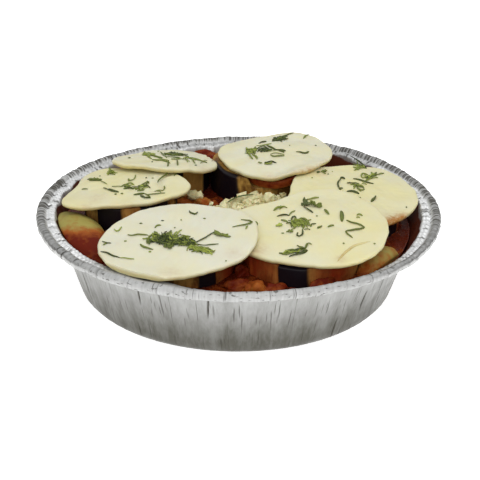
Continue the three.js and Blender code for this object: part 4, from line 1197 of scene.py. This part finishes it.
def heap_grid(food):
    """Points of the heap's core: an uneven oval dome down to just under the sauce."""
    angle, _ = around(90)
    share = np.concatenate([shares(18), [1.0], shares(4)[::-1]])[:, None]
    low = np.concatenate([np.zeros(18), [0.5], np.ones(4)])[:, None]
    out = share * (1 + 0.06 * np.sin(5 * angle) + 0.04 * np.sin(3 * angle + 1))
    x, y = HEAP.x + HEAP.long * out * np.cos(angle), HEAP.y + HEAP.wide * out * np.sin(angle)
    places = np.stack([x, y], -1)
    top = heap_top(share, food) + 0.45 * ripple(places, 3.5, 160) + 0.3 * ripple(places, 1.8, 161)
    z = top * (1 - low) + (food.sauce_level - 0.3) * low
    return np.stack([x, y, z], -1), {"shade": 0.25}


def crumb_cloud(food, count, seed):
    """Grids of many crumbs: small balls with random dents, stretched, turned and strewn over the
    heap evenly by the golden angle, with a few that rolled further out."""
    rng = np.random.default_rng(seed)
    share = 1.06 * np.sqrt((np.arange(count) + 0.5) / count)
    angle = np.arange(count) * GOLDEN_ANGLE
    size = rng.uniform(0.8, 1.9, count) * (1 + 0.7 * (rng.random(count) > 0.75))
    middle = np.stack([
        HEAP.x + HEAP.long * share * np.cos(angle) + rng.normal(0, 0.8, count),
        HEAP.y + HEAP.wide * share * np.sin(angle) + rng.normal(0, 0.8, count),
        heap_top(np.minimum(share, 1), food) + 0.4 * size + rng.uniform(0, 0.9, count)], -1)
    large = np.array(LARGE_CRUMBS)
    middle[:len(large)] = large[:, :3]
    size[:len(large)] = large[:, 3]
    stretch_ = rng.uniform(0.6, 1.3, (count, 1, 1, 3))
    dents = 1 + 0.34 * rng.uniform(-1, 1, (count, 6, 8, 1))
    grids = ball(6, 8)[None] * stretch_ * dents * size[:, None, None, None]
    turns, _ = np.linalg.qr(rng.normal(size=(count, 3, 3)))
    turns = turns * np.sign(np.linalg.det(turns))[:, None, None]
    grids = np.einsum("nij,nrcj->nrci", turns, grids) + middle[:, None, None]
    return grids, rng.uniform(0.1, 0.75, count)


def along_line(corners, samples):
    """Evenly spaced points along a line of straight stretches whose corners are cut twice, each
    time at a quarter and three quarters of every stretch."""
    line = np.asarray(corners, float)
    for _ in range(2):
        cut = np.stack([0.75 * line[:-1] + 0.25 * line[1:], 0.25 * line[:-1] + 0.75 * line[1:]], 1)
        line = np.concatenate([line[:1], cut.reshape(-1, line.shape[1]), line[-1:]])
    run = np.concatenate([[0], np.cumsum(np.linalg.norm(np.diff(line, axis=0), axis=1))])
    at = shares(samples) * run[-1]
    return np.stack([np.interp(at, run, column) for column in line.T], -1)


def ribbons(paths, widths, thickness, twists):
    """Points and faces of many thin strips: at each point of a path stands a flat four-cornered
    section, across the path, turned by the twist about it, and narrower towards both ends."""
    count, samples = paths.shape[:2]
    ahead = np.gradient(paths, axis=1)
    ahead /= np.maximum(np.linalg.norm(ahead, axis=-1, keepdims=True), 1e-9)
    side = np.cross((0.0, 0.0, 1.0), ahead)
    side /= np.maximum(np.linalg.norm(side, axis=-1, keepdims=True), 1e-9)
    up = np.cross(ahead, side)
    cos, sin = np.cos(twists)[..., None], np.sin(twists)[..., None]
    across, over = side * cos + up * sin, up * cos - side * sin
    taper = (0.35 + 0.65 * np.sin(math.pi * shares(samples)) ** 0.5)[None, :, None]
    half = across * taper * widths[:, None, None] / 2
    thick = over * thickness / 2
    section = np.stack(
        [paths - half - thick, paths + half - thick, paths + half + thick, paths - half + thick], 2)
    last = 4 * (samples - 1)
    ends = [(3, 2, 1, 0), (last, last + 1, last + 2, last + 3)]
    faces = np.concatenate([ring_quads(0, samples, 4), ends])
    faces = (faces + 4 * samples * np.arange(count)[:, None, None]).reshape(-1, 4)
    return section.reshape(-1, 3), [*faces]


def chopped_shreds(name, food, seed):
    """Paths, widths, twists and shades of one slice's chopped parsley. The shreds of a clump lie in
    a turned oval, most of them near its middle, which is heaped highest. Each one bends as the
    square of the distance along it, and bows up in its middle."""
    rng = np.random.default_rng(seed)
    along = np.linspace(-1, 1, SAMPLES)[None, :]
    paths, widths, twists, tones = [], [], [], []
    for at_x, at_y, long, wide, turn, count, shade in CLUMPS[name]:
        spread = np.sqrt(rng.random(count)) * rng.uniform(0.35, 1, count)
        round_ = rng.uniform(0, TURN, count)
        u, v = long * spread * np.cos(round_), wide * spread * np.sin(round_)
        lean = math.radians(turn)
        x, y = turned(u, v, lean)
        facing = (lean + rng.normal(0, 0.75, count))[:, None]
        half = rng.uniform(1.6, 4.4, count)[:, None]
        bend = rng.normal(0, 0.55, count)[:, None] * half
        sway = bend * (along ** 2 - 0.33) + 0.12 * half * np.sin(5 * along + round_[:, None])
        px, py = turned(along * half, sway, facing)
        px, py = px + (at_x + x)[:, None], py + (at_y + y)[:, None]
        heaped = min(1.6, 0.02 * count) * (1 - spread[:, None]) * rng.random(count)[:, None]
        bow = (0.25 + 0.9 * rng.random(count)[:, None] ** 2) * (1 - along ** 2)
        pz = cheese_face(name, px, py, food) + 0.3 + heaped + 0.6 * bow
        paths.append(np.stack([px, py, pz], -1))
        widths.append(rng.uniform(0.4, 1.1, count))
        twists.append(rng.normal(0, 0.7, count)[:, None] + rng.normal(0, 0.8, count)[:, None] * along)
        tones.append(np.clip(shade + rng.normal(0, 0.3, count), 0, 1))
    for width, shade, *places in STRANDS[name]:
        flat = along_line(np.reshape(places, (-1, 2)), SAMPLES)
        height = cheese_face(name, flat[:, 0], flat[:, 1], food) + 0.25 + 0.35 * (1 - along[0] ** 2)
        paths.append(np.concatenate([flat, height[:, None]], 1)[None])
        widths.append(np.array([width]))
        twists.append(rng.normal(0, 0.35, (1, 1)) + 0.5 * along * rng.normal())
        tones.append(np.array([shade]))
    return (np.concatenate(part) for part in (paths, widths, twists, tones))


def leaf_grids(name, food):
    """Grids of one slice's bits of leaf: a lobed outline drawn from the middle above and back to it
    0.35 mm below, crinkled, and curled up across its width."""
    rng = np.random.default_rng(200 + list(SLICES).index(name))
    angle, _ = around(36)
    share = np.concatenate([shares(7), shares(7)[::-1]])[:, None]
    under = np.concatenate([np.zeros(7), np.full(7, 0.35)])[:, None]
    grids, tones = [], []
    for at_x, at_y, long, wide, turn, curl, shade in LEAVES[name]:
        phase = rng.uniform(0, TURN, 3)
        lobes = 1 + 0.22 * np.cos(3 * angle + phase[0]) + 0.2 * np.cos(5 * angle + phase[1])
        lobes = (lobes + 0.14 * np.cos(9 * angle + phase[2])) * share
        u, v = long * lobes * np.cos(angle), wide * lobes * np.sin(angle)
        roll = curl * (v / wide) ** 2 + 0.18 * np.sin(2.4 * u + phase[0]) * share
        flat = turned_about_z(np.stack([u, v, roll - under], -1), turn)
        x, y = flat[..., 0] + at_x, flat[..., 1] + at_y
        grids.append(np.stack([x, y, flat[..., 2] + cheese_face(name, x, y, food) + 0.7], -1))
        tones.append(shade)
    return np.stack(grids), np.array(tones)


def settings(context):
    """The sizes of the tray and of the food in millimetres, and the colours."""
    scene = context.scene
    return millimetres(scene.dish_tray), millimetres(scene.dish_food), scene.dish_colours


class DISH_OT_foil_tray(bpy.types.Operator):
    """Add the foil tray with its pleats, creases and smears of sauce"""
    bl_idname = "dish.foil_tray"
    bl_label = "Foil tray"

    def execute(self, context):
        tray, _, colours = settings(context)
        add_shell("foil_tray_pressed", *tray_grid(tray), foil_material(colours),
                  slot="foil", replaces="foil_tray")
        return {"FINISHED"}


class DISH_OT_tomato_sauce(bpy.types.Operator):
    """Add the tomato sauce up to its level"""
    bl_idname = "dish.tomato_sauce"
    bl_label = "Tomato sauce"

    def execute(self, context):
        tray, food, colours = settings(context)
        add_shell("tomato_sauce_wet", *sauce_grid(tray, food), sauce_material(colours),
                  slot="sauce", replaces="tomato_sauce")
        return {"FINISHED"}


class DISH_OT_eggplant_rounds(bpy.types.Operator):
    """Add the six zebra-peeled eggplant rounds"""
    bl_idname = "dish.eggplant_rounds"
    bl_label = "Eggplant rounds"

    def execute(self, context):
        _, food, colours = settings(context)
        material = eggplant_material(colours)
        for name in ROUNDS:
            add_shell(f"eggplant_{name}_baked", *round_grid(name, food), material,
                      slot="eggplant", replaces=f"eggplant_round_{name}")
        return {"FINISHED"}


class DISH_OT_tomatoes(bpy.types.Operator):
    """Add the tomato slice, the wedges and the loose bits of tomato"""
    bl_idname = "dish.tomatoes"
    bl_label = "Tomatoes"

    def execute(self, context):
        tray, food, colours = settings(context)
        material = tomato_material(colours)
        add_shell("tomato_slice_cooked", *tomato_slice_grid(food), material,
                  slot="tomato", replaces="tomato_slice_back_center")
        for name in WEDGES:
            add_shell(f"{name}_cooked", *wedge_grid(name, tray), material, slot="tomato", replaces=name)
        body = ball(22, 32)
        grids = []
        for index, (x, y, z, long, wide, high, turn, _) in enumerate(TOMATO_BITS):
            dents = 1 + 0.2 * ripple(body, 1.1, 150 + index) + 0.07 * ripple(body, 0.45, 170 + index)
            lump = turned_about_z(body * dents[..., None] * (long, wide, high), turn)
            grids.append(kept_clear(lump + (x, y, z), tray))
        tones = [0.5 * bit[-1] for bit in TOMATO_BITS]
        add_many("tomato_bits", *joined_shells(np.stack(grids)), tones, material, "pale", slot="tomato")
        return {"FINISHED"}


class DISH_OT_grated_cheese(bpy.types.Operator):
    """Add the heap of grated cheese in the middle"""
    bl_idname = "dish.grated_cheese"
    bl_label = "Grated cheese"

    def execute(self, context):
        _, food, colours = settings(context)
        material = crumb_material(colours)
        add_shell("grated_cheese_core", *heap_grid(food), material,
                  slot="grated_cheese", replaces="grated_cheese")
        grids, tones = crumb_cloud(food, CRUMBS, 7)
        add_many("grated_cheese_crumbs", *joined_shells(grids), tones, material,
                 slot="grated_cheese", smooth=False)
        return {"FINISHED"}


class DISH_OT_cheese_slices(bpy.types.Operator):
    """Add the six thin slices of pale cheese"""
    bl_idname = "dish.cheese_slices"
    bl_label = "Cheese slices"

    def execute(self, context):
        _, food, colours = settings(context)
        material = cheese_material(colours)
        for name in SLICES:
            add_shell(f"cheese_{name}_soft", *cheese_grid(name, food), material,
                      slot="cheese", replaces=f"cheese_slice_{name}")
        for name in FOLDS:
            add_shell(f"cheese_fold_{name}", *fold_grid(name, food), material, slot="cheese")
        return {"FINISHED"}


class DISH_OT_parsley(bpy.types.Operator):
    """Add the chopped parsley on the slices"""
    bl_idname = "dish.parsley"
    bl_label = "Parsley"

    def execute(self, context):
        _, food, colours = settings(context)
        material = parsley_material(colours)
        thickness = food.shred_thickness
        for order, name in enumerate(SLICES):
            paths, widths, twists, tones = chopped_shreds(name, food, 300 + order)
            add_many(f"parsley_shreds_{name}", *ribbons(paths, widths, thickness, twists), tones, material)
            grids, tones = leaf_grids(name, food)
            add_many(f"parsley_leaves_{name}", *joined_shells(grids), tones, material)
            rng = np.random.default_rng(400 + order)
            specks = np.array(SPECKS[name], float)
            sizes = rng.uniform(0.4, 0.9, (len(specks), 1, 1, 3)) * (1, 1, 0.5)
            height = cheese_face(name, specks[:, 0], specks[:, 1], food) + 0.2
            middle = np.concatenate([specks, height[:, None]], 1)[:, None, None]
            tones = rng.uniform(0, 0.6, len(specks))
            add_many(f"parsley_specks_{name}", *joined_shells(ball(6, 8) * sizes + middle), tones, material)
        widths, tones, lines = zip(*HANGING)
        paths = np.stack([along_line(line, 16) for line in lines])
        stems = ribbons(paths, np.array(widths), thickness, np.zeros(paths.shape[:2]))
        add_many("parsley_stems_hanging", *stems, tones, material)
        return {"FINISHED"}


class DISH_OT_studio(bpy.types.Operator):
    """Add the pale floor, the soft light and the camera"""
    bl_idname = "dish.studio"
    bl_label = "Studio"

    def execute(self, context):
        scene, studio = context.scene, context.scene.dish_studio
        mesh = bpy.data.meshes.new("studio_floor")
        corners = [(x * FLOOR_HALF, y * FLOOR_HALF, 0) for x, y in ((-1, -1), (1, -1), (1, 1), (-1, 1))]
        mesh.from_pydata(corners, [], [(0, 1, 2, 3)])
        mesh.materials.append(floor_material(scene.dish_colours, studio.glow))
        floor = bpy.data.objects.new("studio_floor", mesh)
        scene.collection.objects.link(floor)
        scene.world = soft_room(studio)
        for name, setting, side, at in SOFTBOXES:
            light = bpy.data.lights.new(name, "AREA")
            light.size = side
            light.energy = getattr(studio, setting)
            lamp = bpy.data.objects.new(name, light)
            place = Matrix.Translation(at)
            lamp.matrix_world = place @ place.translation.to_track_quat("Z", "Y").to_matrix().to_4x4()
            scene.collection.objects.link(lamp)
        camera = bpy.data.cameras.new("camera")
        camera.lens = studio.lens / METRES
        camera.shift_x = LENS_SHIFT
        eye = bpy.data.objects.new("camera", camera)
        level = studio.distance * math.cos(studio.elevation)
        height = studio.look_height + studio.distance * math.sin(studio.elevation)
        eye.matrix_world = (Matrix.Translation((0, -level, height))
                            @ Matrix.Rotation(math.pi / 2 - studio.elevation, 4, "X")
                            @ Matrix.Rotation(studio.roll, 4, "Z"))
        scene.collection.objects.link(eye)
        scene.camera = eye
        scene.view_settings.view_transform = "Standard"
        return {"FINISHED"}


GROUPS = {
    "dish_tray": TraySizes,
    "dish_food": FoodSizes,
    "dish_colours": DishColours,
    "dish_studio": StudioSettings,
}
OPERATORS = (
    DISH_OT_studio, DISH_OT_foil_tray, DISH_OT_tomato_sauce, DISH_OT_eggplant_rounds, DISH_OT_tomatoes,
    DISH_OT_grated_cheese, DISH_OT_cheese_slices, DISH_OT_parsley,
)


class DISH_PT_panel(bpy.types.Panel):
    """Sizes, colours and pieces of the dish"""
    bl_label = "Eggplant parmigiana"
    bl_idname = "DISH_PT_panel"
    bl_space_type = "VIEW_3D"
    bl_region_type = "UI"
    bl_category = "Dish"

    def draw(self, context):
        for operator in OPERATORS:
            self.layout.operator(operator.bl_idname)
        for name, group in GROUPS.items():
            box = self.layout.box()
            box.label(text=group.__doc__)
            for field in group.__annotations__:
                box.prop(getattr(context.scene, name), field)


def register():
    """Registers the settings, the operators and the panel."""
    for name, group in GROUPS.items():
        bpy.utils.register_class(group)
        setattr(bpy.types.Scene, name, PointerProperty(type=group))
    for operator in OPERATORS:
        bpy.utils.register_class(operator)
    bpy.utils.register_class(DISH_PT_panel)


def unregister():
    """Takes the panel, the operators and the settings away again."""
    bpy.utils.unregister_class(DISH_PT_panel)
    for operator in OPERATORS:
        bpy.utils.unregister_class(operator)
    for name, group in GROUPS.items():
        delattr(bpy.types.Scene, name)
        bpy.utils.unregister_class(group)


def main():
    """Builds the dish and its studio."""
    register()
    for operator in OPERATORS:
        category, name = operator.bl_idname.split(".")
        getattr(getattr(bpy.ops, category), name)()


if __name__ == "__main__":
    main()
